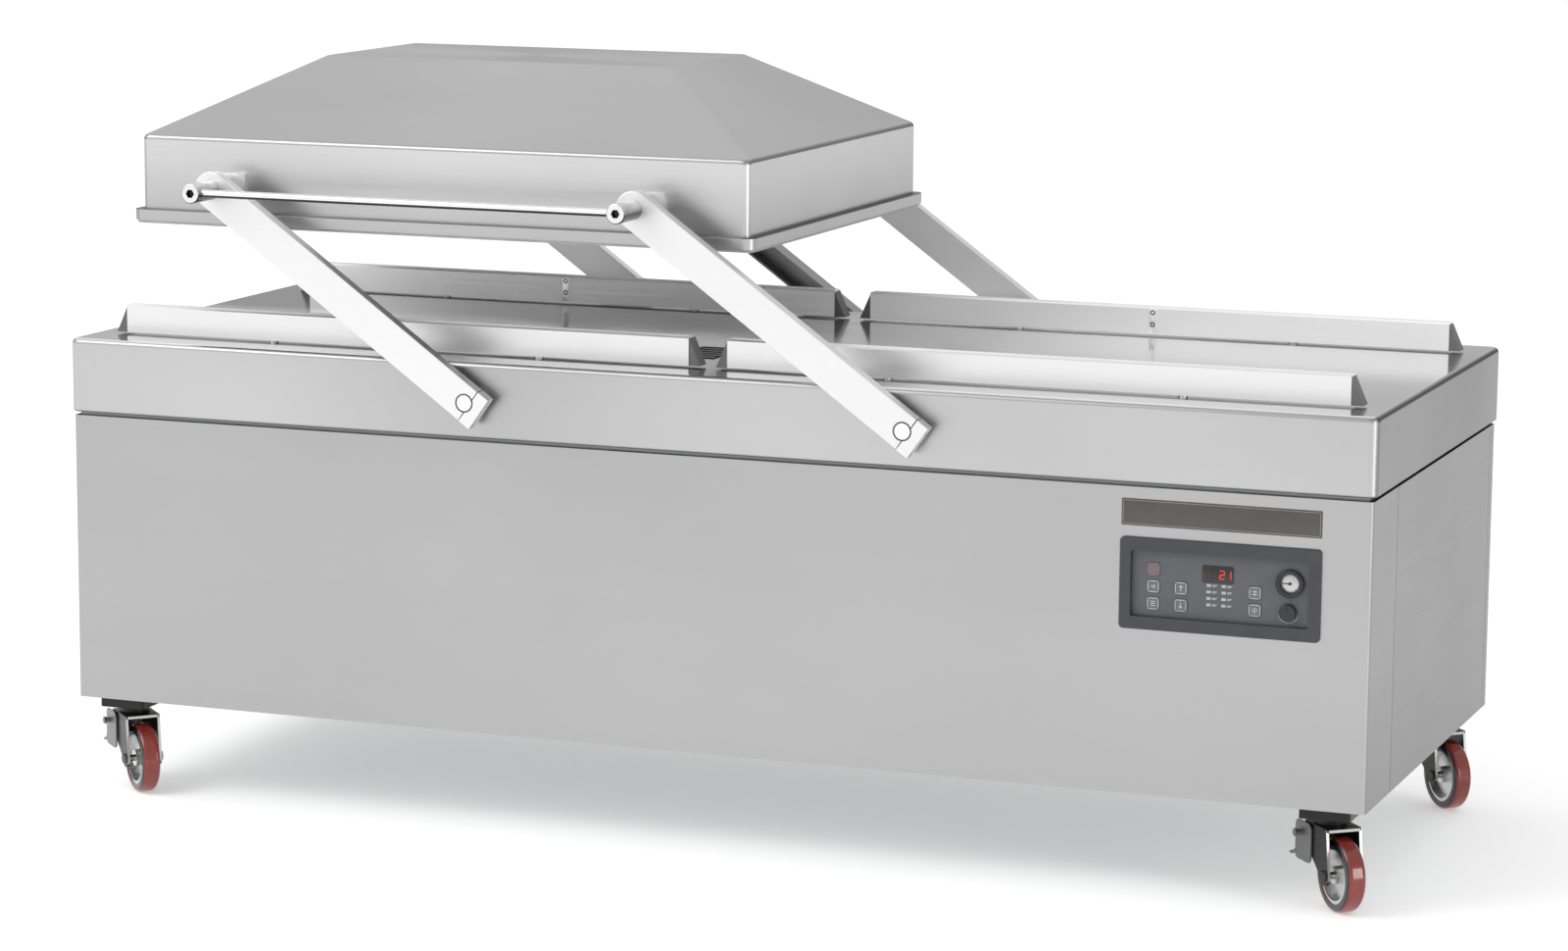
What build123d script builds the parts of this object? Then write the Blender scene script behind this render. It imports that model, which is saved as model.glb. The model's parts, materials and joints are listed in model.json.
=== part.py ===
from build123d import *
import os
from math import asin, cos, degrees, radians, sin, sqrt

# Double-chamber vacuum packing machine on castors. Millimetres, +X to the right along the
# front, +Y to the back, +Z up, floor at zero. One lid swings on parallel arms from the left
# chamber to the right one. It is shown raised above the left chamber.

# ---------------------------------------------------------------- driving dimensions
body_length = 2080
body_depth = 816
table_height = 722
apron_height = 115
body_bottom = 152
sheet = 2
table_sheet = 3
corner_radius = 14       # vertical corners of the apron
edge_radius = 8          # rolled upper edge of the apron
lower_edge_radius = 3
panel_inset = 4          # the lower panels stand this far inside the apron
panel_radius = 6
panel_gap = 6            # shadow gap under the apron
front_return = 150       # the front panel wraps round each corner to a seam
rear_return = 30

# Chambers and seal bars
bar_length = 950
bar_width = 28
bar_height = 43
bar_lift = 3             # gap between a lowered seal bar and the table
bar_stroke = 8
bar_face_y = 329         # outer faces of the front and rear bars, from the body's centre
chamber_x = 506          # centre of each chamber
pin_pitch = 450          # the two lifting pins under each bar
pin_radius = 7
end_block_length = 18

# Swing arms: a parallelogram with its lower pivots below the table
arm_pitch = 696          # between the two cross shafts, and between the two lid pivots
arm_width = 55
arm_thickness = 20
arm_face_y = 442.5       # outer faces of the arms, from the body's centre
pivot_drop = 57          # shafts below the table
closed_gap = 5           # lid rim above the table when closed on its gasket
lid_pivot_rise = 58      # lid pivots above the lid rim's lower edge
rest_angle = 35.56       # arms above the horizontal, as shown
shaft_radius = 13
pin_radius_lid = 10
pin_head_radius = 15
pin_head_thickness = 8
pin_head_gap = 0.5
link_width = 38
link_depth = 36
link_wall = 3
running_gap = 0.05
open_pivot_gap = 0.3     # the right-hand lid pivots and the rear link close the linkage

# Lid
lid_length = 1031
lid_depth = 767
rim_width = 12
rim_height = 17
lid_wall_height = 130
lid_height = 247
plateau_length = 581
plateau_depth = 322
lid_radius = 10
gasket_width = 8
gasket_proud = 4.5

# Handle
boss_radius = 15
boss_length = 64
rod_radius = 6

# Control panel, measured from the machine's centre and down from the table
panel_x = 816
bezel_drop = 260
bezel_size = (296, 134)
window_size = (262, 96)
window_radius = 3
key_size = 19
key_travel = 0.6
key_places = {
    "stop_key": (717, 239),
    "menu_key": (717, 264),
    "select_key": (717, 289),
    "up_key": (758, 264),
    "down_key": (758, 289),
    "vent_key": (867, 263),
    "pump_key": (867, 288),
}
gauge_place = (918, 245.5)
gauge_radius = 20.5
dial_radius = 14.5
knob_place = (916, 287)
knob_radius = 12

# Castors
wheel_radius = 54
wheel_width = 29
castor_x = 972
castor_y = 342
trail = 38
crown_height = 122
castor_pad = (76, 86)
axle_radius = 5
kingpin_radius = 6
castor_places = {         # place in plan, and the angle each castor is turned from the front to the right
    "front_left": (-castor_x, -castor_y, 46),
    "front_right": (castor_x, -castor_y, 40),
    "rear_left": (-castor_x, castor_y, 44),
    "rear_right": (castor_x, castor_y, 42),
}

# ---------------------------------------------------------------- derived values
apron_bottom = table_height - apron_height
panel_top = apron_bottom - panel_gap
panel_half_x = body_length / 2 - panel_inset
panel_half_y = body_depth / 2 - panel_inset
pivot_z = table_height - pivot_drop
closed_rise = pivot_drop + closed_gap + lid_pivot_rise
arm_length = sqrt(chamber_x ** 2 + closed_rise ** 2)
closed_angle = degrees(asin(closed_rise / arm_length))
lid_x = -arm_length * cos(radians(rest_angle))
lid_pivot_z = pivot_z + arm_length * sin(radians(rest_angle))
rim_z = lid_pivot_z - lid_pivot_rise
lid_wall_y = lid_depth / 2 - rim_width
arm_back_y = arm_face_y - arm_thickness
bar_bottom = table_height + bar_lift
link_front = arm_back_y + 2
link_back = link_front + link_depth
front_reach = arm_face_y + boss_length
rear_reach = link_back + pin_head_gap + pin_head_thickness
body_y = (front_reach - rear_reach) / 2  # the handle reaches further out than the rear link does
bar_centre_y = bar_face_y - bar_width / 2


# ---------------------------------------------------------------- planes and helpers
def level(z, x=0, y=0):
    """Horizontal plane; x and y are measured from the body's centre."""
    return Plane(origin=(x, body_y + y, z))


def upright(y):
    """Plane facing the front; sketches run along X and Z."""
    return Plane(origin=(0, body_y + y, 0), x_dir=(1, 0, 0), z_dir=(0, -1, 0))


def crosswise(x):
    """Plane facing right; sketches run along Y and Z."""
    return Plane(origin=(x, body_y, 0), x_dir=(0, 1, 0), z_dir=(1, 0, 0))


def arm_plane(x, y):
    """Plane facing the front at a cross shaft; its x runs up the arm."""
    along = (-cos(radians(rest_angle)), 0, sin(radians(rest_angle)))
    return Plane(origin=(x, body_y + y, pivot_z), x_dir=along, z_dir=(0, -1, 0))


def castor_plane(place, offset=0):
    """Upright plane through a castor; its x is the rolling direction and its normal the axle."""
    x, y, turn = place
    ahead = (sin(radians(turn)), -cos(radians(turn)), 0)
    axle = (ahead[1], -ahead[0], 0)
    return Plane(origin=(x, body_y + y, 0), x_dir=ahead, z_dir=axle).offset(offset)


def castor_level(place, z):
    """Horizontal plane on a castor's swivel axis; its x is the rolling direction."""
    x, y, turn = place
    ahead = (sin(radians(turn)), -cos(radians(turn)), 0)
    return Plane(origin=(x, body_y + y, z), x_dir=ahead, z_dir=(0, 0, 1))


def save(part, name):
    part.label = name
    export_step(part, f"parts/{name}.step")


os.makedirs("parts", exist_ok=True)


# ---------------------------------------------------------------- body: table, panels, frame
bar_places = [(side * chamber_x, face * bar_centre_y) for side in (-1, 1) for face in (-1, 1)]
pin_places = [(x + half * pin_pitch / 2, y) for x, y in bar_places for half in (-1, 1)]
shaft_places = (-arm_pitch / 2, arm_pitch / 2)
nose_radius = 20
nose_hole_gap = 0.5
pin_hole_gap = 0.5
lip = 11
inner_length = body_length - 2 * table_sheet
inner_depth = body_depth - 2 * table_sheet

with BuildPart() as table_top:
    with BuildSketch(level(apron_bottom)):
        RectangleRounded(body_length, body_depth, corner_radius)
    extrude(amount=apron_height)
    fillet(table_top.edges().group_by(Axis.Z)[-1], edge_radius)
    fillet(table_top.edges().group_by(Axis.Z)[0], lower_edge_radius)
    with BuildSketch(level(apron_bottom)):
        RectangleRounded(body_length - 2 * lip, body_depth - 2 * lip, table_sheet)
    extrude(amount=lip, mode=Mode.SUBTRACT)
    with BuildSketch(level(apron_bottom + lip)):
        RectangleRounded(inner_length, inner_depth, corner_radius - table_sheet)
    extrude(amount=apron_height - lip - table_sheet, mode=Mode.SUBTRACT)
    with BuildSketch(upright(body_depth / 2)):
        with Locations(*[(x, pivot_z) for x in shaft_places], (0, pivot_z)):
            Circle(nose_radius + nose_hole_gap)
    extrude(amount=body_depth / 2, mode=Mode.SUBTRACT)
    with BuildSketch(upright(0)):
        with Locations(*[(x, pivot_z) for x in shaft_places]):
            Circle(nose_radius + nose_hole_gap)
    extrude(amount=body_depth / 2, mode=Mode.SUBTRACT)
    with BuildSketch(level(table_height)):
        with Locations(*pin_places):
            Circle(pin_radius + pin_hole_gap)
    extrude(amount=-table_sheet, mode=Mode.SUBTRACT)
save(table_top.part, "table_top")

tub_size = (window_size[0] + 6, window_size[1] + 6)
panel_lip = 15
panel_length = 2 * panel_half_x
panel_depth = 2 * panel_half_y


def panel_wall():
    """The outline of the sheet that runs round the whole body, drawn in the current sketch."""
    inner_size = (panel_length - 2 * sheet, panel_depth - 2 * sheet)
    RectangleRounded(panel_length, panel_depth, panel_radius)
    RectangleRounded(inner_size[0], inner_size[1], panel_radius - sheet, mode=Mode.SUBTRACT)


with BuildPart() as front_panel:
    with BuildSketch(level(body_bottom)):
        panel_wall()
        with Locations((0, front_return / 2)):
            Rectangle(2 * body_length, 2 * panel_half_y - front_return, mode=Mode.SUBTRACT)
    extrude(amount=panel_top - body_bottom)
    with BuildSketch(level(body_bottom)):
        with Locations((0, -panel_half_y + sheet / 2 + panel_lip / 2)):
            Rectangle(2 * panel_half_x - 2 * panel_radius, panel_lip)
    extrude(amount=sheet)
    with BuildSketch(upright(0)):
        with Locations((panel_x, table_height - bezel_drop)):
            RectangleRounded(tub_size[0] + 2, tub_size[1] + 2, 4)
    extrude(amount=body_depth / 2, mode=Mode.SUBTRACT)
save(front_panel.part, "front_panel")

gland_place = (-820, 250)
gland_hole = 9
slot_length = 120
slot_width = 8

with BuildPart() as rear_panel:
    with BuildSketch(level(body_bottom)):
        panel_wall()
        with Locations((0, -rear_return / 2)):
            Rectangle(2 * body_length, 2 * panel_half_y - rear_return, mode=Mode.SUBTRACT)
    extrude(amount=panel_top - body_bottom)
    with BuildSketch(level(body_bottom)):
        with Locations((0, panel_half_y - sheet / 2 - panel_lip / 2)):
            Rectangle(2 * panel_half_x - 2 * panel_radius, panel_lip)
    extrude(amount=sheet)
    with BuildSketch(upright(body_depth / 2)):
        with Locations(gland_place):
            Circle(gland_hole)
        for vent_x in (-300, 500):
            with Locations((vent_x, 380)):
                with GridLocations(slot_length + 25, 22, 3, 8):
                    SlotOverall(slot_length, slot_width)
    extrude(amount=body_depth / 4, mode=Mode.SUBTRACT)
save(rear_panel.part, "rear_panel")

seam = 1.5
with BuildPart() as side_panels:
    with BuildSketch(level(body_bottom)):
        start = -panel_half_y + front_return + seam
        end = panel_half_y - rear_return - seam
        for side in (-1, 1):
            with Locations((side * (panel_half_x - sheet / 2), (start + end) / 2)):
                Rectangle(sheet, end - start)
    extrude(amount=panel_top - body_bottom)
save(side_panels.part, "side_panels")

floor_sheet = 3
with BuildPart() as base_plate:
    with BuildSketch(level(body_bottom + sheet)):
        RectangleRounded(2 * (panel_half_x - sheet - 1), 2 * (panel_half_y - sheet - 1), panel_radius)
    extrude(amount=floor_sheet)
save(base_plate.part, "base_plate")

rail = 40
rail_wall = 4
frame_half_x = panel_half_x - sheet - 6
frame_half_y = panel_half_y - sheet - 6
frame_bottom = body_bottom + sheet + floor_sheet
frame_top = apron_bottom + lip
cross_rails = [(x, 0) for x in shaft_places]
with BuildPart() as chassis_frame:
    for z in (frame_bottom, frame_top - rail):
        with BuildSketch(level(z)):
            Rectangle(2 * frame_half_x, 2 * frame_half_y)
            Rectangle(2 * (frame_half_x - rail), 2 * (frame_half_y - rail), mode=Mode.SUBTRACT)
        extrude(amount=rail)
        with BuildSketch(level(z + rail_wall)):
            Rectangle(2 * (frame_half_x - rail_wall), 2 * (frame_half_y - rail_wall))
        extrude(amount=rail - 2 * rail_wall, mode=Mode.SUBTRACT)
        with BuildSketch(level(z)):
            with Locations(*cross_rails):
                Rectangle(rail, 2 * (frame_half_y - rail_wall))
        extrude(amount=rail)
        with BuildSketch(level(z)):
            with Locations(*cross_rails):
                Rectangle(rail - 2 * rail_wall, 2 * (frame_half_y - rail))
        extrude(amount=rail - rail_wall, mode=Mode.SUBTRACT)
    post_x = frame_half_x - rail / 2
    post_y = frame_half_y - rail_wall / 2
    with BuildSketch(level(frame_bottom)):
        with Locations(*[(x, y) for x in (-post_x, *shaft_places, post_x) for y in (-post_y, post_y)]):
            Rectangle(rail, rail_wall)
    extrude(amount=frame_top - frame_bottom)
save(chassis_frame.part, "chassis_frame")

# Bearing housings for the two cross shafts and for the rear link's stub shaft
housing_width = 70
housing_depth = 28
housing_back = body_depth / 2 - table_sheet
nose_end = arm_back_y - 2
bearing_places = [(x, face) for x in shaft_places for face in (-1, 1)] + [(0, 1)]
with BuildPart() as shaft_bearings:
    for x, face in bearing_places:
        with BuildSketch(upright(face * (housing_back - housing_depth / 2))):
            with Locations((x, (frame_top + pivot_z + nose_radius) / 2)):
                Rectangle(housing_width, pivot_z + nose_radius - frame_top)
        extrude(amount=housing_depth / 2, both=True)
        with BuildSketch(upright(face * housing_back)):
            with Locations((x, pivot_z)):
                Circle(nose_radius)
        extrude(amount=-face * (nose_end - housing_back))
        with BuildSketch(upright(face * (housing_back - housing_depth))):
            with Locations((x, pivot_z)):
                Circle(shaft_radius + running_gap)
        extrude(amount=-face * (nose_end - housing_back + housing_depth), mode=Mode.SUBTRACT)
save(shaft_bearings.part, "shaft_bearings")

cylinder_radius = 30
cylinder_height = 78
bore_depth = 55
with BuildPart() as lift_cylinders:
    with BuildSketch(level(table_height - table_sheet)):
        with Locations(*pin_places):
            Circle(cylinder_radius)
    extrude(amount=-cylinder_height)
    with BuildSketch(level(table_height - table_sheet)):
        with Locations(*pin_places):
            Circle(pin_radius + running_gap)
    extrude(amount=-bore_depth, mode=Mode.SUBTRACT)
save(lift_cylinders.part, "lift_cylinders")


# ---------------------------------------------------------------- inside the body
pump_floor = frame_bottom
pump_x = 20
pump_axis_z = pump_floor + 150
with BuildPart() as vacuum_pump:
    with BuildSketch(level(pump_floor, pump_x)):
        RectangleRounded(300, 260, 20)
    extrude(amount=190)
    with BuildSketch(crosswise(pump_x - 150)):
        with Locations((0, pump_axis_z)):
            Circle(110)
    extrude(amount=300)
    with BuildSketch(level(pump_axis_z, pump_x)):
        Circle(32)
    extrude(amount=150)
    with BuildSketch(level(pump_axis_z + 144, pump_x)):
        Circle(45)
    extrude(amount=10)
    with BuildSketch(level(pump_axis_z + 154, pump_x)):
        Circle(22)
    extrude(amount=-100, mode=Mode.SUBTRACT)
save(vacuum_pump.part, "vacuum_pump")

motor_length = 280
with BuildPart() as pump_motor:
    with BuildSketch(crosswise(pump_x + 150)):
        with Locations((0, pump_axis_z)):
            Circle(85)
    extrude(amount=motor_length)
    for ring in range(12):
        with BuildSketch(crosswise(pump_x + 170 + 18 * ring)):
            with Locations((0, pump_axis_z)):
                Circle(98)
        extrude(amount=6)
    with BuildSketch(level(pump_axis_z + 60, pump_x + 290)):
        Rectangle(90, 90)
    extrude(amount=70)
    with BuildSketch(level(pump_floor, pump_x + 230)):
        Rectangle(100, 150)
    extrude(amount=80)
save(pump_motor.part, "pump_motor")

with BuildPart() as transformer:
    with BuildSketch(level(frame_bottom, 780, 150)):
        Rectangle(170, 130)
    extrude(amount=8)
    with BuildSketch(level(frame_bottom + 8, 780, 150)):
        Rectangle(150, 60)
    extrude(amount=125)
    with BuildSketch(level(frame_bottom + 30, 780, 150)):
        RectangleRounded(100, 120, 15)
    extrude(amount=80)
save(transformer.part, "transformer")

# Cable gland: hexagon nut, screwed dome and a through bore for the mains cable
gland_bore = 5
gland_outside = 24
with BuildPart() as mains_gland:
    with BuildSketch(upright(panel_half_y)):
        with Locations(gland_place):
            RegularPolygon(13, 6)
    extrude(amount=-7)
    with BuildSketch(upright(panel_half_y + 7)):
        with Locations(gland_place):
            Circle(11)
    extrude(amount=-(gland_outside - 7))
    fillet(mains_gland.edges().group_by(Axis.Y)[-1], 4)
    with BuildSketch(upright(panel_half_y - sheet - 10)):
        with Locations(gland_place):
            Circle(gland_hole - 0.2)
    extrude(amount=-(10 + sheet))
    with BuildSketch(upright(panel_half_y - sheet - 1)):
        with Locations(gland_place):
            RegularPolygon(13, 6)
            Circle(gland_hole - 0.2, mode=Mode.SUBTRACT)
    extrude(amount=5)
    with BuildSketch(upright(panel_half_y - sheet - 20)):
        with Locations(gland_place):
            Circle(gland_bore)
    extrude(amount=-(40 + gland_outside), mode=Mode.SUBTRACT)
save(mains_gland.part, "mains_gland")


# ---------------------------------------------------------------- control panel
panel_z = table_height - bezel_drop
bezel_front = panel_half_y + 5
face_front = panel_half_y - 4
face_thickness = 2
key_gap = 0.3
key_front = face_front + 1.3
key_thickness = 3.1


def at_panel(place):
    """A place on the control panel, as sketch coordinates on an upright plane."""
    return (place[0], table_height - place[1])


with BuildPart() as control_bezel:
    with BuildSketch(upright(-panel_half_y)):
        with Locations((panel_x, panel_z)):
            RectangleRounded(bezel_size[0], bezel_size[1], 7)
    extrude(amount=bezel_front - panel_half_y)
    outer_edges = control_bezel.faces().sort_by(Axis.Y)[0].edges()
    fillet(outer_edges, 2.5)
    with BuildSketch(upright(-panel_half_y)):
        with Locations((panel_x, panel_z)):
            RectangleRounded(tub_size[0], tub_size[1], 3)
    extrude(amount=-14)
    with BuildSketch(upright(-bezel_front)):
        with Locations((panel_x, panel_z)):
            RectangleRounded(window_size[0], window_size[1], window_radius)
    extrude(amount=-40, mode=Mode.SUBTRACT)
save(control_bezel.part, "control_bezel")

with BuildPart() as control_face:
    with BuildSketch(upright(-face_front)):
        with Locations((panel_x, panel_z)):
            RectangleRounded(window_size[0], window_size[1], window_radius)
        with Locations(*[at_panel(place) for place in key_places.values()]):
            RectangleRounded(key_size + 2 * key_gap, key_size + 2 * key_gap, 3, mode=Mode.SUBTRACT)
        with Locations(at_panel(gauge_place)):
            Circle(gauge_radius - 2, mode=Mode.SUBTRACT)
        with Locations(at_panel(knob_place)):
            Circle(4, mode=Mode.SUBTRACT)
    extrude(amount=-face_thickness)
save(control_face.part, "control_face")

for key_name, place in key_places.items():
    with BuildPart() as key:
        with BuildSketch(upright(-key_front)):
            with Locations(at_panel(place)):
                RectangleRounded(key_size, key_size, 3)
        extrude(amount=-key_thickness)
        fillet(key.faces().sort_by(Axis.Y)[0].edges(), 0.5)
    save(key.part, key_name)

dial_front = face_front + 2.5
ring_front = face_front + 7
with BuildPart() as gauge_case:
    with BuildSketch(upright(-face_front)):
        with Locations(at_panel(gauge_place)):
            Circle(gauge_radius)
    extrude(amount=ring_front - face_front)
    fillet(gauge_case.faces().sort_by(Axis.Y)[0].edges(), 1.5)
    with BuildSketch(upright(-face_front)):
        with Locations(at_panel(gauge_place)):
            Circle(gauge_radius - 2.3)
    extrude(amount=-26)
    with BuildSketch(upright(-ring_front)):
        with Locations(at_panel(gauge_place)):
            Circle(dial_radius)
    extrude(amount=-(ring_front - dial_front), mode=Mode.SUBTRACT)
    with BuildSketch(upright(-dial_front)):
        with Locations(at_panel(gauge_place)):
            Circle(0.8 + running_gap)
    extrude(amount=-6, mode=Mode.SUBTRACT)
save(gauge_case.part, "gauge_case")

with BuildPart() as gauge_needle:
    with BuildSketch(upright(-(dial_front + 1))):
        with Locations(at_panel(gauge_place)):
            Circle(2.2)
            with Locations((-4, 0)):
                Rectangle(14, 1.2)
    extrude(amount=0.8)
    with BuildSketch(upright(-(dial_front + 1))):
        with Locations(at_panel(gauge_place)):
            Circle(0.8)
    extrude(amount=-5)
save(gauge_needle.part, "gauge_needle")

with BuildPart() as vacuum_knob:
    with BuildSketch(upright(-(face_front + 0.5))):
        with Locations(at_panel(knob_place)):
            Circle(knob_radius)
    extrude(amount=9)
    fillet(vacuum_knob.faces().sort_by(Axis.Y)[0].edges(), 1.5)
    with BuildSketch(upright(-(face_front + 9.5))):
        with Locations(at_panel((knob_place[0], knob_place[1] - 6))):
            Rectangle(1.6, 8)
    extrude(amount=-0.8, mode=Mode.SUBTRACT)
    with BuildSketch(upright(-(face_front + 0.5))):
        with Locations(at_panel(knob_place)):
            Circle(3)
    extrude(amount=-16)
save(vacuum_knob.part, "vacuum_knob")


# ---------------------------------------------------------------- seal bars
bar_top_chamfer = 2
joint_plate = 12
plate_thickness = 1.5


def seal_bar(x, face):
    """One seal bar with its two lifting pins and the joint plate on its inner side."""
    y = face * bar_centre_y
    with BuildPart() as bar:
        with BuildSketch(crosswise(x - bar_length / 2)):
            with Locations((y, bar_bottom + bar_height / 2)):
                Rectangle(bar_width, bar_height)
        extrude(amount=bar_length)
        chamfer(bar.edges().filter_by(Axis.X).group_by(Axis.Z)[-1], bar_top_chamfer)
        with BuildSketch(upright(face * (bar_face_y - bar_width))):
            with Locations((x, bar_bottom + bar_height / 2)):
                Rectangle(joint_plate, bar_height - 2 * bar_top_chamfer)
        extrude(amount=face * plate_thickness)
        with BuildSketch(level(bar_bottom)):
            with Locations((x - pin_pitch / 2, y), (x + pin_pitch / 2, y)):
                Circle(pin_radius)
        extrude(amount=-(bar_lift + table_sheet + 38))
    return bar.part


def seal_bar_ends(x):
    """The four wedge-shaped end blocks of one chamber's two bars."""
    recess = 1
    with BuildPart() as ends:
        for face in (-1, 1):
            with BuildSketch(upright(face * bar_centre_y)):
                for side in (-1, 1):
                    tip = x + side * bar_length / 2
                    with BuildLine():
                        Polyline(
                            (tip, bar_bottom),
                            (tip + side * end_block_length, bar_bottom),
                            (tip, bar_bottom + bar_height - bar_top_chamfer),
                            close=True,
                        )
                    make_face()
            extrude(amount=bar_width / 2 - recess, both=True)
    return ends.part


for chamber, x in (("left", -chamber_x), ("right", chamber_x)):
    save(seal_bar(x, -1), f"{chamber}_front_seal_bar")
    save(seal_bar(x, 1), f"{chamber}_rear_seal_bar")
    save(seal_bar_ends(x), f"{chamber}_seal_bar_ends")


# ---------------------------------------------------------------- swing arms
cap_start = 7
cap_gap = 1.6
cap_length = 20
screw_pitch = 36
screw_hole = 3.3
screw_head = 5.5
head_depth = 6
shaft_chamfer = 1
arm_edge = 1.5


def cross_shaft(x):
    with BuildPart() as shaft:
        with BuildSketch(upright(arm_face_y)):
            with Locations((x, pivot_z)):
                Circle(shaft_radius)
        extrude(amount=2 * arm_face_y)
        chamfer(shaft.edges(), shaft_chamfer)
    return shaft.part


def swing_arm(x, y, pin_gap):
    """A flat bar from the cross shaft up to the lid pivot; y is the plane of its rear side."""
    with BuildPart() as arm:
        with BuildSketch(arm_plane(x, y)):
            with Locations(((arm_length - cap_start) / 2, 0)):
                Rectangle(arm_length + cap_start, arm_width)
            with Locations((arm_length, 0)):
                Circle(arm_width / 2)
                Circle(pin_radius_lid + pin_gap, mode=Mode.SUBTRACT)
            Circle(shaft_radius, mode=Mode.SUBTRACT)
        extrude(amount=arm_thickness)
        long_edges = arm.edges().filter_by(lambda edge: edge.geom_type == GeomType.LINE and edge.length > 400)
        fillet(long_edges, arm_edge)
    return arm.part


def clamp_caps(x):
    """The bolted caps that close the split bores of one shaft's front and rear arm."""
    with BuildPart() as caps:
        for rear_side in (-arm_back_y, arm_face_y):
            with BuildSketch(arm_plane(x, rear_side)):
                with Locations((-(cap_start + cap_gap + cap_length / 2), 0)):
                    Rectangle(cap_length, arm_width)
                Circle(shaft_radius, mode=Mode.SUBTRACT)
            extrude(amount=arm_thickness)
        end_face = arm_plane(x, 0).location * Location((-(cap_start + cap_gap + cap_length), 0, 0))
        away = arm_plane(x, 0).x_dir * -1
        for middle in (-(arm_back_y + arm_thickness / 2), arm_back_y + arm_thickness / 2):
            origin = end_face.position + Vector(0, middle, 0)
            with BuildSketch(Plane(origin=origin, x_dir=(0, 1, 0), z_dir=away)):
                with Locations((0, -screw_pitch / 2), (0, screw_pitch / 2)):
                    Circle(screw_head)
            extrude(amount=-head_depth, mode=Mode.SUBTRACT)
            with BuildSketch(Plane(origin=origin, x_dir=(0, 1, 0), z_dir=away)):
                with Locations((0, -screw_pitch / 2), (0, screw_pitch / 2)):
                    Circle(screw_hole)
            extrude(amount=-cap_length, mode=Mode.SUBTRACT)
    return caps.part


for side, x, gap in (("left", -arm_pitch / 2, running_gap), ("right", arm_pitch / 2, open_pivot_gap)):
    save(cross_shaft(x), f"{side}_cross_shaft")
    save(swing_arm(x, -arm_back_y, gap), f"{side}_front_arm")
    save(swing_arm(x, arm_face_y, gap), f"{side}_rear_arm")
    save(clamp_caps(x), f"{side}_arm_clamps")

# Rear link: an open channel parallel to the arms, on a stub shaft in the middle of the rear apron
with BuildPart() as rear_link:
    with BuildSketch(arm_plane(0, link_back)):
        with Locations((arm_length / 2, 0)):
            SlotOverall(arm_length + link_width, link_width)
    extrude(amount=link_depth)
    with BuildSketch(arm_plane(0, link_back - link_wall)):
        with Locations((arm_length / 2, 0)):
            SlotOverall(arm_length + link_width - 2 * link_wall, link_width - 2 * link_wall)
    extrude(amount=link_depth, mode=Mode.SUBTRACT)
    with BuildSketch(arm_plane(0, link_back)):
        with Locations((arm_length, 0)):
            Circle(pin_radius_lid + open_pivot_gap)
    extrude(amount=link_depth, mode=Mode.SUBTRACT)
    with BuildSketch(arm_plane(0, link_back)):
        Circle(shaft_radius)
    extrude(amount=link_back - (housing_back - housing_depth))
save(rear_link.part, "rear_link")


# ---------------------------------------------------------------- lid
wall_length = lid_length - 2 * rim_width
wall_depth = lid_depth - 2 * rim_width
groove_depth = 7.5
groove_edge = 4
crease_radius = 5
bend_radius = 9
rim_edge = 1.2


def lid_level(z):
    """Horizontal plane on the lid's centre, at a height above its rim's lower edge."""
    return level(rim_z + z, lid_x)


def gasket_ring():
    """The rectangular ring of the gasket and its groove, drawn in the current sketch."""
    length = lid_length - 2 * groove_edge
    depth = lid_depth - 2 * groove_edge
    RectangleRounded(length, depth, lid_radius)
    RectangleRounded(length - 2 * gasket_width, depth - 2 * gasket_width, lid_radius / 2, mode=Mode.SUBTRACT)


with BuildPart() as lid_shell:
    with BuildSketch(lid_level(0)):
        RectangleRounded(lid_length, lid_depth, lid_radius + 6)
    extrude(amount=rim_height)
    fillet(lid_shell.faces().sort_by(Axis.Z)[-1].edges(), rim_edge)
    with BuildSketch(lid_level(0)):
        RectangleRounded(wall_length, wall_depth, lid_radius)
    extrude(amount=lid_wall_height)
    with BuildSketch(lid_level(lid_wall_height)):
        RectangleRounded(wall_length, wall_depth, lid_radius)
    with BuildSketch(lid_level(lid_height)):
        RectangleRounded(plateau_length, plateau_depth, lid_radius)
    loft()
    fillet(lid_shell.edges().group_by(Axis.Z)[-1], crease_radius)
    wall_top = rim_z + lid_wall_height
    fillet(lid_shell.edges().filter_by_position(Axis.Z, wall_top - 0.1, wall_top + 0.1), bend_radius)
    with BuildSketch(lid_level(0)):
        RectangleRounded(wall_length - 2 * sheet, wall_depth - 2 * sheet, lid_radius - sheet)
    extrude(amount=lid_wall_height - 1, mode=Mode.SUBTRACT)
    with BuildSketch(lid_level(lid_wall_height - 1)):
        RectangleRounded(wall_length - 2 * sheet, wall_depth - 2 * sheet, lid_radius - sheet)
    with BuildSketch(lid_level(lid_height - sheet)):
        RectangleRounded(plateau_length - 2 * sheet, plateau_depth - 2 * sheet, lid_radius - sheet)
    loft(mode=Mode.SUBTRACT)
    with BuildSketch(lid_level(0)):
        gasket_ring()
    extrude(amount=groove_depth, mode=Mode.SUBTRACT)
save(lid_shell.part, "lid_shell")

with BuildPart() as lid_gasket:
    with BuildSketch(lid_level(-gasket_proud)):
        gasket_ring()
    extrude(amount=groove_depth + gasket_proud)
save(lid_gasket.part, "lid_gasket")

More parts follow.
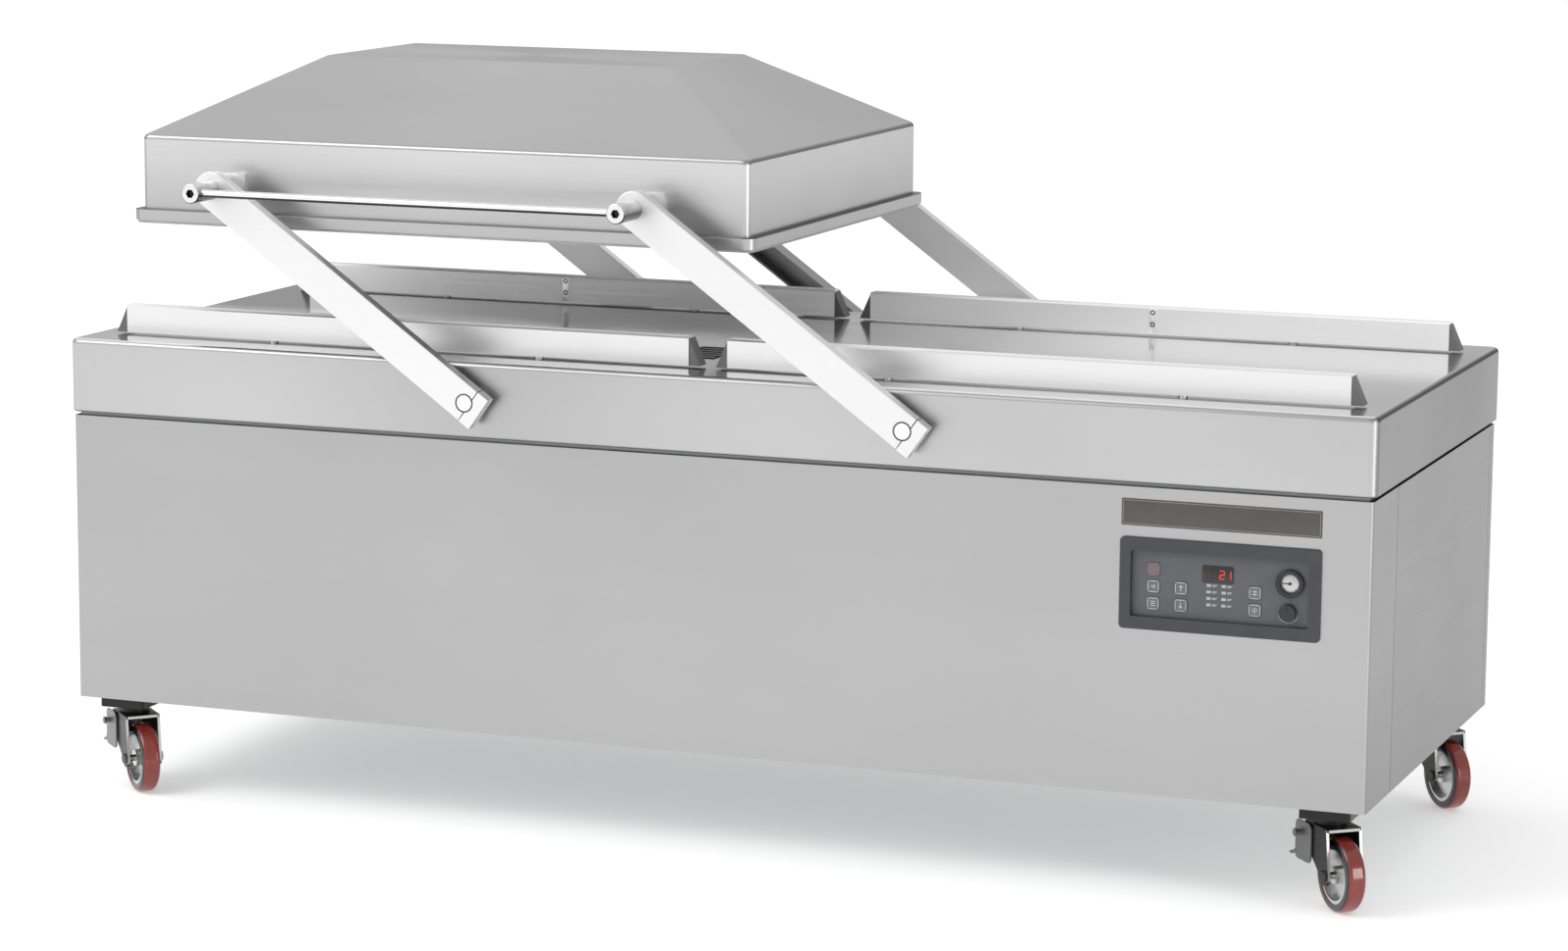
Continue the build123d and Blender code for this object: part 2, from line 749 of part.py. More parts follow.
# Counter bars: each hangs from the roof on three posts, just above a raised seal bar
counter_width = 24
counter_length = 960
counter_bottom = bar_lift + bar_height + bar_stroke + 1 - closed_gap
counter_height = 30
post_top = 146
with BuildPart() as counter_bars:
    with BuildSketch(lid_level(counter_bottom)):
        with Locations((0, -bar_centre_y), (0, bar_centre_y)):
            Rectangle(counter_length, counter_width)
    extrude(amount=counter_height)
    with BuildSketch(lid_level(counter_bottom)):
        with Locations(*[(post, y) for post in (-400, 0, 400) for y in (-bar_centre_y, bar_centre_y)]):
            Rectangle(40, 20)
    extrude(amount=post_top - counter_bottom)
save(counter_bars.part, "counter_bars")

# Pivot blocks on the lid's front and rear walls, with a pad against the wall and a round boss
lid_pivots = [(lid_x + x, face) for x in shaft_places for face in (-1, 1)] + [(lid_x, 1)]
block_radius = 20
pad_size = (52, 40)
pad_thickness = 6
block_end = arm_back_y - 1
with BuildPart() as pivot_blocks:
    for x, face in lid_pivots:
        with BuildSketch(upright(face * lid_wall_y)):
            with Locations((x, lid_pivot_z)):
                RectangleRounded(pad_size[0], pad_size[1], 8)
        extrude(amount=-face * pad_thickness)
        with BuildSketch(upright(face * lid_wall_y)):
            with Locations((x, lid_pivot_z)):
                Circle(block_radius)
        extrude(amount=-face * (block_end - lid_wall_y))
        with BuildSketch(upright(face * (lid_wall_y + 1))):
            with Locations((x, lid_pivot_z)):
                Circle(pin_radius_lid)
        extrude(amount=-face * block_end, mode=Mode.SUBTRACT)
save(pivot_blocks.part, "pivot_blocks")

# Pivot pins: the front ones end inside the handle's bosses, the rear ones in a flat head
front_pin_end = arm_face_y + boss_length - 12
with BuildPart() as pivot_pins:
    for x, face in lid_pivots:
        middle = face == 1 and x == lid_x
        seat = link_back if middle else arm_face_y
        pin_end = front_pin_end if face == -1 else seat + pin_head_gap + pin_head_thickness
        with BuildSketch(upright(face * (lid_wall_y + 1))):
            with Locations((x, lid_pivot_z)):
                Circle(pin_radius_lid)
        extrude(amount=-face * (pin_end - lid_wall_y - 1))
        if face == 1:
            with BuildSketch(upright(seat + pin_head_gap)):
                with Locations((x, lid_pivot_z)):
                    Circle(pin_head_radius)
            extrude(amount=-pin_head_thickness)
save(pivot_pins.part, "pivot_pins")

# Handle: two bosses on the front pins, joined by a round rod, each with a hexagon socket
socket_radius = 7
socket_depth = 8
rod_y = arm_face_y + boss_length - 14
with BuildPart() as lid_handle:
    for x in shaft_places:
        with BuildSketch(upright(-(arm_face_y + pin_head_gap))):
            with Locations((lid_x + x, lid_pivot_z)):
                Circle(boss_radius)
        extrude(amount=boss_length - pin_head_gap)
    fillet(lid_handle.faces().group_by(Axis.Y)[0].edges(), 2)
    with BuildSketch(crosswise(lid_x - arm_pitch / 2)):
        with Locations((-rod_y, lid_pivot_z)):
            Circle(rod_radius)
    extrude(amount=arm_pitch)
    for x in shaft_places:
        with BuildSketch(upright(-(arm_face_y + pin_head_gap))):
            with Locations((lid_x + x, lid_pivot_z)):
                Circle(pin_radius_lid)
        extrude(amount=front_pin_end - arm_face_y - pin_head_gap, mode=Mode.SUBTRACT)
        with BuildSketch(upright(-(arm_face_y + boss_length))):
            with Locations((lid_x + x, lid_pivot_z)):
                RegularPolygon(socket_radius, 6)
        extrude(amount=-socket_depth, mode=Mode.SUBTRACT)
save(lid_handle.part, "lid_handle")


# ---------------------------------------------------------------- castors
plate_bottom = 134
plate_corner = 6
race_radius = 24
race_gap = 0.4
crown_thickness = 4
kingpin_head = 10
kingpin_bottom = 108
kingpin_points = [(x, y) for x, y, turn in castor_places.values()]

with BuildPart() as castor_plates:
    with BuildSketch(level(plate_bottom)):
        with Locations(*kingpin_points):
            RectangleRounded(castor_pad[0], castor_pad[1], plate_corner)
    extrude(amount=body_bottom - plate_bottom)
    with BuildSketch(level(crown_height + race_gap)):
        with Locations(*kingpin_points):
            Circle(race_radius)
    extrude(amount=plate_bottom - crown_height - race_gap)
    with BuildSketch(level(kingpin_bottom)):
        with Locations(*kingpin_points):
            Circle(kingpin_radius)
    extrude(amount=plate_bottom - kingpin_bottom)
    with BuildSketch(level(kingpin_bottom)):
        with Locations(*kingpin_points):
            RegularPolygon(kingpin_head, 6)
    extrude(amount=crown_height - crown_thickness - race_gap - kingpin_bottom)
save(castor_plates.part, "castor_plates")

# Fork profile in the castor's plane: x ahead of the swivel axis, z above the floor
leg_inner = 24
leg_thickness = 4
leg_end_radius = 14
crown_back = -27
crown_front = 42
leg_waist = (-18, crown_height - 36)
axle_head = 8
axle_head_length = 4
crown_profile = [
    (crown_back, crown_height),
    (crown_front, crown_height),
    (trail + leg_end_radius - 1, wheel_radius + 6),
    (trail - leg_end_radius, wheel_radius - 2),
    leg_waist,
]

# Brake: a cross pin through two ears of the fork carries the pedal
pedal_pivot = (-36, 102)
pedal_pin = 4
ear_radius = 9
ear_profile = [(-20, crown_height), (-20, crown_height - 32), (-42, 96), (-42, 108)]
cheek_gap = 1
cheek_thickness = 2.5
cheek_centre = (-25, 91)
cheek_size = (50, 58)
cheek_corner = 9
web_x = -48.5
web_size = (3, 38)
foot_profile = [(-50, 75), (-47, 72), (-60, 64), (-68, 64), (-68, 67), (-61, 67)]
shoe_profile = [(-48, 92), (-14, 90), (-14, 76), (-48, 78)]
shoe_half = 12
pin_overhang = 9
nut_radius = 6
nut_height = 4


def castor_fork(place, braked):
    """Crown, two legs and the riveted axle; braked forks also carry two ears for the pedal."""
    with BuildPart() as fork:
        with BuildSketch(castor_level(place, crown_height)):
            with Locations(((crown_back + crown_front) / 2 + 2, 0)):
                RectangleRounded(crown_front - crown_back + 4, 2 * (leg_inner + leg_thickness), plate_corner)
            Circle(kingpin_radius + running_gap, mode=Mode.SUBTRACT)
        extrude(amount=-crown_thickness)
        for inner in (leg_inner, -leg_inner - leg_thickness):
            with BuildSketch(castor_plane(place, inner)):
                with BuildLine():
                    Polyline(*crown_profile, close=True)
                make_face()
                with Locations((trail, wheel_radius)):
                    Circle(leg_end_radius)
                if braked:
                    with BuildLine():
                        Polyline(*ear_profile, close=True)
                    make_face()
                    with Locations(pedal_pivot):
                        Circle(ear_radius)
                        Circle(pedal_pin + running_gap, mode=Mode.SUBTRACT)
            extrude(amount=leg_thickness)
        half_axle = leg_inner + leg_thickness + axle_head_length
        with BuildSketch(castor_plane(place, -half_axle)):
            with Locations((trail, wheel_radius)):
                Circle(axle_radius)
        extrude(amount=2 * half_axle)
        for start in (-half_axle, half_axle - axle_head_length):
            with BuildSketch(castor_plane(place, start)):
                with Locations((trail, wheel_radius)):
                    RegularPolygon(axle_head, 6)
            extrude(amount=axle_head_length)
    return fork.part


rim_radius = 42
rim_wall = 5
hub_radius = 13
web_half = 4
rim_half = 13
shoulder_radius = 7


def castor_rim(place):
    """Rim with a hub, a thin web and a bore that runs on the axle."""
    with BuildPart() as rim:
        with BuildSketch(castor_plane(place, -rim_half)):
            with Locations((trail, wheel_radius)):
                Circle(rim_radius)
        extrude(amount=2 * rim_half)
        for start, depth in ((-rim_half, rim_half - web_half), (rim_half, -(rim_half - web_half))):
            with BuildSketch(castor_plane(place, start)):
                with Locations((trail, wheel_radius)):
                    Circle(rim_radius - rim_wall)
                    Circle(hub_radius, mode=Mode.SUBTRACT)
            extrude(amount=depth, mode=Mode.SUBTRACT)
        with BuildSketch(castor_plane(place, -rim_half)):
            with Locations((trail, wheel_radius)):
                Circle(axle_radius + running_gap)
        extrude(amount=2 * rim_half, mode=Mode.SUBTRACT)
    return rim.part


def castor_tyre(place):
    """Polyurethane tread cast round the rim, with a rounded shoulder on each side."""
    with BuildPart() as tyre:
        with BuildSketch(castor_plane(place, -wheel_width / 2)):
            with Locations((trail, wheel_radius)):
                Circle(wheel_radius)
        extrude(amount=wheel_width)
        fillet(tyre.edges(), shoulder_radius)
        with BuildSketch(castor_plane(place, -wheel_width / 2)):
            with Locations((trail, wheel_radius)):
                Circle(rim_radius)
        extrude(amount=wheel_width, mode=Mode.SUBTRACT)
    return tyre.part


def brake_pedal(place):
    """Stamped pedal: cheeks outside the fork, a rear web with a foot lip, a shoe and the pivot pin."""
    cheek_inner = leg_inner + leg_thickness + cheek_gap
    cheek_outer = cheek_inner + cheek_thickness
    pin_end = cheek_outer + pin_overhang
    nut_start = pin_end - nut_height
    with BuildPart() as pedal:
        for start in (cheek_inner, -cheek_outer):
            with BuildSketch(castor_plane(place, start)):
                with Locations(cheek_centre):
                    RectangleRounded(cheek_size[0], cheek_size[1], cheek_corner)
            extrude(amount=cheek_thickness)
        with BuildSketch(castor_plane(place, -cheek_outer)):
            with Locations((web_x, cheek_centre[1])):
                Rectangle(web_size[0], web_size[1])
            with BuildLine():
                Polyline(*foot_profile, close=True)
            make_face()
        extrude(amount=2 * cheek_outer)
        with BuildSketch(castor_plane(place, -shoe_half)):
            with BuildLine():
                Polyline(*shoe_profile, close=True)
            make_face()
        extrude(amount=2 * shoe_half)
        with BuildSketch(castor_plane(place, -pin_end)):
            with Locations(pedal_pivot):
                Circle(pedal_pin)
        extrude(amount=2 * pin_end)
        for start in (nut_start, -pin_end):
            with BuildSketch(castor_plane(place, start)):
                with Locations(pedal_pivot):
                    RegularPolygon(nut_radius, 6)
            extrude(amount=nut_height)
    return pedal.part


for place_name, place in castor_places.items():
    has_brake = place_name.startswith("front")
    save(castor_fork(place, has_brake), f"{place_name}_castor_fork")
    save(castor_rim(place), f"{place_name}_wheel_rim")
    save(castor_tyre(place), f"{place_name}_tyre")
    if has_brake:
        save(brake_pedal(place), f"{place_name}_brake_pedal")
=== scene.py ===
import json
from math import cos, radians, sin, sqrt, tau

import bmesh
import bpy
from mathutils import Matrix, Vector


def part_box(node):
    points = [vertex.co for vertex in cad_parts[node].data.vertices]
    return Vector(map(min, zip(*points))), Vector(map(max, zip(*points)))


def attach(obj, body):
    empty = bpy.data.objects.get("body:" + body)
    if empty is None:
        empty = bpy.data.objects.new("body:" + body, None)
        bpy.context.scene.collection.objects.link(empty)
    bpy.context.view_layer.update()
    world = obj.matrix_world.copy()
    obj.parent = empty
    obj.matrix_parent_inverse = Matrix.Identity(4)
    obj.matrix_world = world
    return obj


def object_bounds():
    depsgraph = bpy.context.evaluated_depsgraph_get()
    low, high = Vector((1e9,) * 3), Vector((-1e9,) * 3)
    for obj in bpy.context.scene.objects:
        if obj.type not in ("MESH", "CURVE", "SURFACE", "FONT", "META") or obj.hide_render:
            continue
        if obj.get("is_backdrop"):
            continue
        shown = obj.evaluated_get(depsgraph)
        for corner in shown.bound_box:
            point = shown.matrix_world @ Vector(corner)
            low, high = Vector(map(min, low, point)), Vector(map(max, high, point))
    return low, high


# Looks for the double-chamber vacuum packing machine. Metres, in the CAD's frame: +X to the
# right along the front, +Y to the back, +Z up, floor at zero.

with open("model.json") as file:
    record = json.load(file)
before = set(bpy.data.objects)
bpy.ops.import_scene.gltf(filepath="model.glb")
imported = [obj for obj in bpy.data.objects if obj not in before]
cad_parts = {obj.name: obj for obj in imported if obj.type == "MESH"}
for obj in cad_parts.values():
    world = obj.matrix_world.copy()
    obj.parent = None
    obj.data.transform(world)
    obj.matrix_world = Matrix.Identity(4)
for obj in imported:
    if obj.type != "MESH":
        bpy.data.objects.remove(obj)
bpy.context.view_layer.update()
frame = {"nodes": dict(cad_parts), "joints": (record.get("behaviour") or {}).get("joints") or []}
nodes = frame["nodes"]
MM = 0.001  # places and icons on the control panel are given in millimetres

table_low, table_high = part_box("table_top")
BODY_Y = (table_low.y + table_high.y) / 2
TABLE_Z = table_high.z
APRON_Z = table_low.z
PANEL_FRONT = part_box("front_panel")[0].y
LID_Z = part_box("lid_shell")[0].z
LID_WALL = 0.130


# ---------------------------------------------------------------- material helpers
def material(name):
    """A new node material, its node tree and its principled shader."""
    mat = bpy.data.materials.new(name)
    mat.use_nodes = True
    tree = mat.node_tree
    shader = tree.nodes["Principled BSDF"]
    return mat, tree, shader


def add(tree, kind, **values):
    """A node of that kind; values set its properties, or its inputs where no property has the name."""
    node = tree.nodes.new(kind)
    for key, value in values.items():
        if hasattr(node, key):
            setattr(node, key, value)
        else:
            node.inputs[key.replace("_", " ")].default_value = value
    return node


def link(tree, source, target):
    """Feeds the target socket from the source socket."""
    tree.links.new(source, target)


def coordinates(tree, scale):
    """Object coordinates with their own scale along each axis."""
    place = add(tree, "ShaderNodeTexCoord")
    mapping = add(tree, "ShaderNodeMapping")
    mapping.inputs["Scale"].default_value = scale
    link(tree, place.outputs["Object"], mapping.inputs["Vector"])
    return mapping.outputs["Vector"]


def noise(tree, scale, size, detail=3.0, roughness=0.55):
    """Noise of that size, stretched by the three scales; returns its factor."""
    texture = add(tree, "ShaderNodeTexNoise")
    texture.inputs["Scale"].default_value = size
    texture.inputs["Detail"].default_value = detail
    texture.inputs["Roughness"].default_value = roughness
    link(tree, coordinates(tree, scale), texture.inputs["Vector"])
    return texture.outputs["Fac"]


def spread(tree, factor, low, high):
    """The factor mapped to run from low to high."""
    node = add(tree, "ShaderNodeMapRange")
    node.inputs["From Min"].default_value = 0.3
    node.inputs["From Max"].default_value = 0.7
    node.inputs["To Min"].default_value = low
    node.inputs["To Max"].default_value = high
    link(tree, factor, node.inputs["Value"])
    return node.outputs["Result"]


def total(tree, first, second, operation="ADD"):
    """The two values added, or combined by another operation."""
    node = add(tree, "ShaderNodeMath", operation=operation)
    link(tree, first, node.inputs[0])
    link(tree, second, node.inputs[1])
    return node.outputs["Value"]


def tinted(tree, factor, dark, light):
    """A colour between dark and light by the factor."""
    ramp = add(tree, "ShaderNodeValToRGB")
    ramp.color_ramp.elements[0].position = 0.3
    ramp.color_ramp.elements[1].position = 0.7
    ramp.color_ramp.elements[0].color = (*dark, 1)
    ramp.color_ramp.elements[1].color = (*light, 1)
    link(tree, factor, ramp.inputs["Fac"])
    return ramp.outputs["Color"]


def relief(tree, shader, height, strength, distance):
    """Bumps the shader's surface by the height."""
    bump = add(tree, "ShaderNodeBump")
    bump.inputs["Strength"].default_value = strength
    bump.inputs["Distance"].default_value = distance
    link(tree, height, bump.inputs["Height"])
    link(tree, bump.outputs["Normal"], shader.inputs["Normal"])


def ramp_between(tree, value, start, end, low=0.0, high=1.0):
    """The value mapped so that start gives low and end gives high, smoothly and clamped."""
    node = add(tree, "ShaderNodeMapRange", interpolation_type="SMOOTHSTEP")
    node.inputs["From Min"].default_value = start
    node.inputs["From Max"].default_value = end
    node.inputs["To Min"].default_value = low
    node.inputs["To Max"].default_value = high
    link(tree, value, node.inputs["Value"])
    return node.outputs["Result"]


def facing(tree, direction, either_way=True):
    """How squarely the surface faces along that direction, and, if either_way, against it."""
    place = add(tree, "ShaderNodeTexCoord")
    dot = add(tree, "ShaderNodeVectorMath", operation="DOT_PRODUCT")
    link(tree, place.outputs["Normal"], dot.inputs[0])
    dot.inputs[1].default_value = direction
    if not either_way:
        return dot.outputs["Value"]
    size = add(tree, "ShaderNodeMath", operation="ABSOLUTE")
    link(tree, dot.outputs["Value"], size.inputs[0])
    return size.outputs["Value"]


def place_along(tree, axis):
    """Place of the surface along X, Y or Z, in metres."""
    place = add(tree, "ShaderNodeTexCoord")
    axes = add(tree, "ShaderNodeSeparateXYZ")
    link(tree, place.outputs["Object"], axes.inputs["Vector"])
    return axes.outputs[axis]


def height_above(tree, level):
    """Height of the surface above a level, in metres."""
    node = add(tree, "ShaderNodeMath", operation="SUBTRACT")
    link(tree, place_along(tree, "Z"), node.inputs[0])
    node.inputs[1].default_value = level
    return node.outputs["Value"]


def scaled(tree, colour, factor):
    """The colour made darker or lighter by a factor."""
    node = add(tree, "ShaderNodeVectorMath", operation="SCALE")
    link(tree, colour, node.inputs[0])
    link(tree, factor, node.inputs["Scale"])
    return node.outputs["Vector"]


def relinked(tree, socket, change):
    """Feeds the socket from change(its present source)."""
    source = socket.links[0].from_socket
    link(tree, change(source), socket)


def shaded(mat, factor):
    """Makes the material's colour darker or lighter by the factor."""
    tree = mat.node_tree
    base = tree.nodes["Principled BSDF"].inputs["Base Color"]
    relinked(tree, base, lambda source: scaled(tree, source, factor))


def two_levels(tree, factor, first, second):
    """The number first at factor 0, and the value of the socket second at factor 1."""
    node = add(tree, "ShaderNodeMix", data_type="FLOAT")
    link(tree, factor, node.inputs[0])
    node.inputs[2].default_value = first
    link(tree, second, node.inputs[3])
    return node.outputs[0]


def two_colours(tree, factor, first, second):
    """A colour that is the first one at factor 0 and the second one at 1."""
    node = add(tree, "ShaderNodeMix", data_type="RGBA")
    link(tree, factor, node.inputs[0])
    link(tree, first, node.inputs[6])
    node.inputs[7].default_value = (*second, 1)
    return node.outputs[2]


def brushed(name, tone, rough, grain, tint=(1, 1, 1), contrast=0.05, anisotropy=0.5, depth=0.12):
    """Brushed metal. grain is the axis that the brushing runs along: 0, 1 or 2."""
    mat, tree, shader = material(name)
    shader.inputs["Metallic"].default_value = 1.0
    fine = [420.0, 420.0, 420.0]
    fine[grain] = 5.0
    lines = noise(tree, fine, 1.0, detail=4.0, roughness=0.6)
    broad = [9.0, 9.0, 9.0]
    broad[grain] = 0.8
    bands = noise(tree, broad, 1.0, detail=2.0)
    blotches = noise(tree, (3.1, 3.1, 3.1), 1.0, detail=4.0)
    dark = [tone * (1 - contrast) * c for c in tint]
    light = [min(1.0, tone * (1 + contrast) * c) for c in tint]
    half_lines = add(tree, "ShaderNodeMath", operation="MULTIPLY")
    link(tree, lines, half_lines.inputs[0])
    half_lines.inputs[1].default_value = 0.5
    pattern = add(tree, "ShaderNodeMath", operation="MULTIPLY_ADD")
    link(tree, bands, pattern.inputs[0])
    pattern.inputs[1].default_value = 0.5
    link(tree, half_lines.outputs["Value"], pattern.inputs[2])
    link(tree, tinted(tree, pattern.outputs["Value"], dark, light), shader.inputs["Base Color"])
    gloss = total(tree, spread(tree, lines, rough * 0.88, rough * 1.1), spread(tree, blotches, -0.02, 0.03))
    link(tree, gloss, shader.inputs["Roughness"])
    shader.inputs["Anisotropic"].default_value = anisotropy
    if anisotropy:
        tangent = add(tree, "ShaderNodeTangent", direction_type="RADIAL", axis="Z")
        link(tree, tangent.outputs["Tangent"], shader.inputs["Tangent"])
    relief(tree, shader, lines, depth, 0.0002)
    return mat


def turned(name, tone, rough, tint=(1, 1, 1)):
    """Machined bright metal with faint turning marks and handling marks."""
    mat, tree, shader = material(name)
    shader.inputs["Metallic"].default_value = 1.0
    marks = noise(tree, (160, 900, 160), 1.0, detail=2.0)
    smears = noise(tree, (22, 22, 22), 1.0, detail=5.0)
    dark = [tone * 0.93 * c for c in tint]
    light = [min(1, tone * c) for c in tint]
    link(tree, tinted(tree, smears, dark, light), shader.inputs["Base Color"])
    gloss = total(tree, spread(tree, marks, rough * 0.8, rough * 1.2), spread(tree, smears, -0.03, 0.05))
    link(tree, gloss, shader.inputs["Roughness"])
    relief(tree, shader, marks, 0.08, 0.0002)
    return mat


def coated(name, colour, rough, metal=0.0, variation=0.12, grain=900.0, depth=0.15, coat=0.0):
    """Paint, plating or moulded plastic: fine texture, uneven sheen and slightly uneven colour."""
    mat, tree, shader = material(name)
    shader.inputs["Metallic"].default_value = metal
    texture = noise(tree, (grain, grain, grain), 1.0, detail=2.0)
    patches = noise(tree, (28, 28, 28), 1.0, detail=5.0)
    dark = [c * (1 - variation) for c in colour]
    light = [min(1.0, c * (1 + variation)) for c in colour]
    link(tree, tinted(tree, patches, dark, light), shader.inputs["Base Color"])
    gloss = total(tree, spread(tree, patches, rough - 0.06, rough + 0.06), spread(tree, texture, -0.03, 0.03))
    link(tree, gloss, shader.inputs["Roughness"])
    shader.inputs["Coat Weight"].default_value = coat
    relief(tree, shader, texture, depth, 0.0002)
    return mat


def sides_darker(mat, factor):
    """Painted shade on the end faces, which face along X: they are made darker than the long faces."""
    tree = mat.node_tree
    shaded(mat, ramp_between(tree, facing(tree, (1, 0, 0)), 0.55, 0.95, 1.0, factor))


def lid_painted_light(mat, rim_level, top_level):
    """Painted light and shade on the lid: walls lighter towards their top bend, painted shade on the rim
    ledge and in the bend, and darker ends.
    """
    tree = mat.node_tree
    # Painted light: the walls grow lighter towards their top.
    wall = ramp_between(tree, facing(tree, (0, 0, 1)), 0.30, 0.10, 0.0, 1.0)
    climb = ramp_between(tree, height_above(tree, rim_level), 0.0, top_level, 0.98, 1.34)
    tone = two_levels(tree, wall, 1.0, climb)
    # Painted shade on the up-facing rim ledge, in place of its sky reflection.
    ledge = ramp_between(tree, height_above(tree, rim_level), 0.030, 0.018, 0.0, 1.0)
    upward = ramp_between(tree, facing(tree, (0, 0, 1), either_way=False), 0.15, 0.6, 0.0, 1.0)
    ledge_shade = ramp_between(tree, total(tree, ledge, upward, "MULTIPLY"), 0.0, 1.0, 1.0, 0.30)
    # Painted shade on the end faces.
    left = ramp_between(tree, facing(tree, (-1, 0, 0), either_way=False), 0.10, 0.30, 1.0, 0.78)
    right = ramp_between(tree, facing(tree, (1, 0, 0), either_way=False), 0.60, 0.95, 1.0, 0.84)
    # Painted shade in the bend between walls and top, toning down its highlight.
    upright = facing(tree, (0, 0, 1))
    into_bend = ramp_between(tree, upright, 0.005, 0.09, 1.0, 0.70)
    out_of_bend = ramp_between(tree, upright, 0.55, 0.84, 0.0, 0.30)
    bend = total(tree, into_bend, out_of_bend)
    for level in (ledge_shade, left, right, bend):
        tone = total(tree, tone, level, "MULTIPLY")
    shaded(mat, tone)


def uneven(mat, size, low, high):
    """Broad uneven reflections, as on sheet that isn't quite flat."""
    tree = mat.node_tree
    shaded(mat, spread(tree, noise(tree, size, 1.0, detail=1.0), low, high))


def rear_shade(tree):
    """Painted shade of the overhanging lid on the table's top in front of the left chamber's rear bar, with
    an uneven border; only faces that look up get it.
    """
    waves = spread(tree, noise(tree, (2.4, 7.0, 2.4), 1.0, detail=2.0), -0.06, 0.06)
    depth = total(tree, place_along(tree, "Y"), waves)
    back = ramp_between(tree, depth, BODY_Y - 0.04, BODY_Y + 0.15)
    left = ramp_between(tree, total(tree, place_along(tree, "X"), waves), 0.20, -0.25)
    upward = ramp_between(tree, facing(tree, (0, 0, 1), either_way=False), 0.5, 0.9)
    share = total(tree, total(tree, back, left, "MULTIPLY"), upward, "MULTIPLY")
    return ramp_between(tree, share, 0.0, 1.0, 1.0, 0.36)


def painted_gap_shade(mat, level):
    """Painted shade: a dark line just below that level, where the panel meets the apron's lower edge and the
    gap between them lies in shade.
    """
    tree = mat.node_tree
    shaded(mat, ramp_between(tree, height_above(tree, level), -0.0050, -0.0022, 1.0, 0.10))


def table_finish_and_shade(mat, top_tone, apron_tone, top_rough, apron_rough):
    """Polished top and satin apron, with painted reflection and shade: a darker line below the rolled edge, a
    dark line at the lower lip, a darker right rolled edge and the lid's painted shade from rear_shade.
    """
    tree = mat.node_tree
    above = height_above(tree, TABLE_Z)
    top = ramp_between(tree, above, -0.0022, -0.0008)
    tone = ramp_between(tree, top, 0, 1, apron_tone, top_tone)
    # Painted reflection: a darker line on the apron just below the rolled top edge.
    line = ramp_between(tree, above, -0.0075, -0.0045, 1.0, 0.72)
    back = ramp_between(tree, above, -0.0030, -0.0012, 0.0, 0.28)
    tone = total(tree, tone, total(tree, line, back), "MULTIPLY")
    # Painted shade: a dark line along the apron's lower lip, where the gap under it lies in shade.
    lip = ramp_between(tree, height_above(tree, APRON_Z), 0.0004, 0.0040, 0.22, 1.0)
    # Painted shade along the rolled edge that faces up and to the right.
    right_edge = facing(tree, (sqrt(0.5), 0, sqrt(0.5)), either_way=False)
    right_roll = ramp_between(tree, right_edge, 0.80, 0.96, 1.0, 0.30)
    for level in (lip, right_roll, rear_shade(tree)):
        tone = total(tree, tone, level, "MULTIPLY")
    shaded(mat, tone)
    gloss = ramp_between(tree, top, 0, 1, apron_rough, top_rough)
    rough = tree.nodes["Principled BSDF"].inputs["Roughness"]
    relinked(tree, rough, lambda source: total(tree, source, gloss, "MULTIPLY"))


def rod_painted_shade(mat):
    """A polished rod with painted shade that makes it dark along its underside; its flat ends, which face the
    front, keep their bright tone.
    """
    tree = mat.node_tree
    underside = ramp_between(tree, facing(tree, (0, 0, 1), either_way=False), -0.25, 0.62, 0.05, 1.0)
    flat_end = ramp_between(tree, facing(tree, (0, -1, 0), either_way=False), 0.93, 0.99)
    shaded(mat, total(tree, underside, flat_end, "MAXIMUM"))


def castor_fork_steel(name, ahead):
    """Blackened steel whose front cut edges, the faces that look along the castor's heading, are light grey;
    ahead is the castor's heading.
    """
    mat = coated(name, (0.035, 0.035, 0.034), 0.30, metal=0.8)
    tree = mat.node_tree
    shader = tree.nodes["Principled BSDF"]
    edge = ramp_between(tree, facing(tree, ahead), 0.80, 0.95)
    base = shader.inputs["Base Color"]
    relinked(tree, base, lambda source: two_colours(tree, edge, source, (0.50, 0.50, 0.48)))
    return mat


def castor_tread(name, axle):
    """Red polyurethane tread with a black band on each side; axle is the wheel's axis."""
    mat = coated(name, (0.21, 0.020, 0.014), 0.18, variation=0.25, grain=300.0, depth=0.08, coat=0.5)
    tree = mat.node_tree
    shader = tree.nodes["Principled BSDF"]
    band = ramp_between(tree, facing(tree, axle), 0.62, 0.80)
    base = shader.inputs["Base Color"]
    relinked(tree, base, lambda source: two_colours(tree, band, source, (0.010, 0.008, 0.008)))
    return mat


# ---------------------------------------------------------------- materials
table_steel = brushed("table_steel", 1.0, 1.0, 0, contrast=0.03, anisotropy=0.3)
uneven(table_steel, (1.1, 2.6, 1.1), 0.86, 1.10)
sides_darker(table_steel, 0.49)
table_finish_and_shade(table_steel, 0.82, 0.50, 0.13, 0.34)
panel_steel = brushed("panel_steel", 0.425, 0.36, 0, contrast=0.03)
uneven(panel_steel, (0.9, 0.9, 0.9), 0.95, 1.06)
sides_darker(panel_steel, 0.68)
# The side panels take the panel steel with its grain along Y and a darker tone: the darker tone is painted
# shade on the side faces.
side_steel = brushed("side_steel", 0.285, 0.36, 1, contrast=0.03)
painted_gap_shade(panel_steel, APRON_Z)
painted_gap_shade(side_steel, APRON_Z)
lid_steel = brushed("lid_steel", 0.50, 0.32, 0, contrast=0.035)
lid_painted_light(lid_steel, LID_Z, LID_WALL)
uneven(lid_steel, (1.6, 1.6, 1.6), 0.96, 1.05)
arm_steel = brushed("arm_steel", 0.80, 0.42, 0, contrast=0.02, anisotropy=0.0, depth=0.05)
link_steel = brushed("link_steel", 0.30, 0.35, 0, contrast=0.08, anisotropy=0.0)
bar_metal = brushed("bar_metal", 0.80, 0.38, 0, contrast=0.02)
joint_metal = brushed("joint_metal", 0.96, 0.30, 2, contrast=0.02)
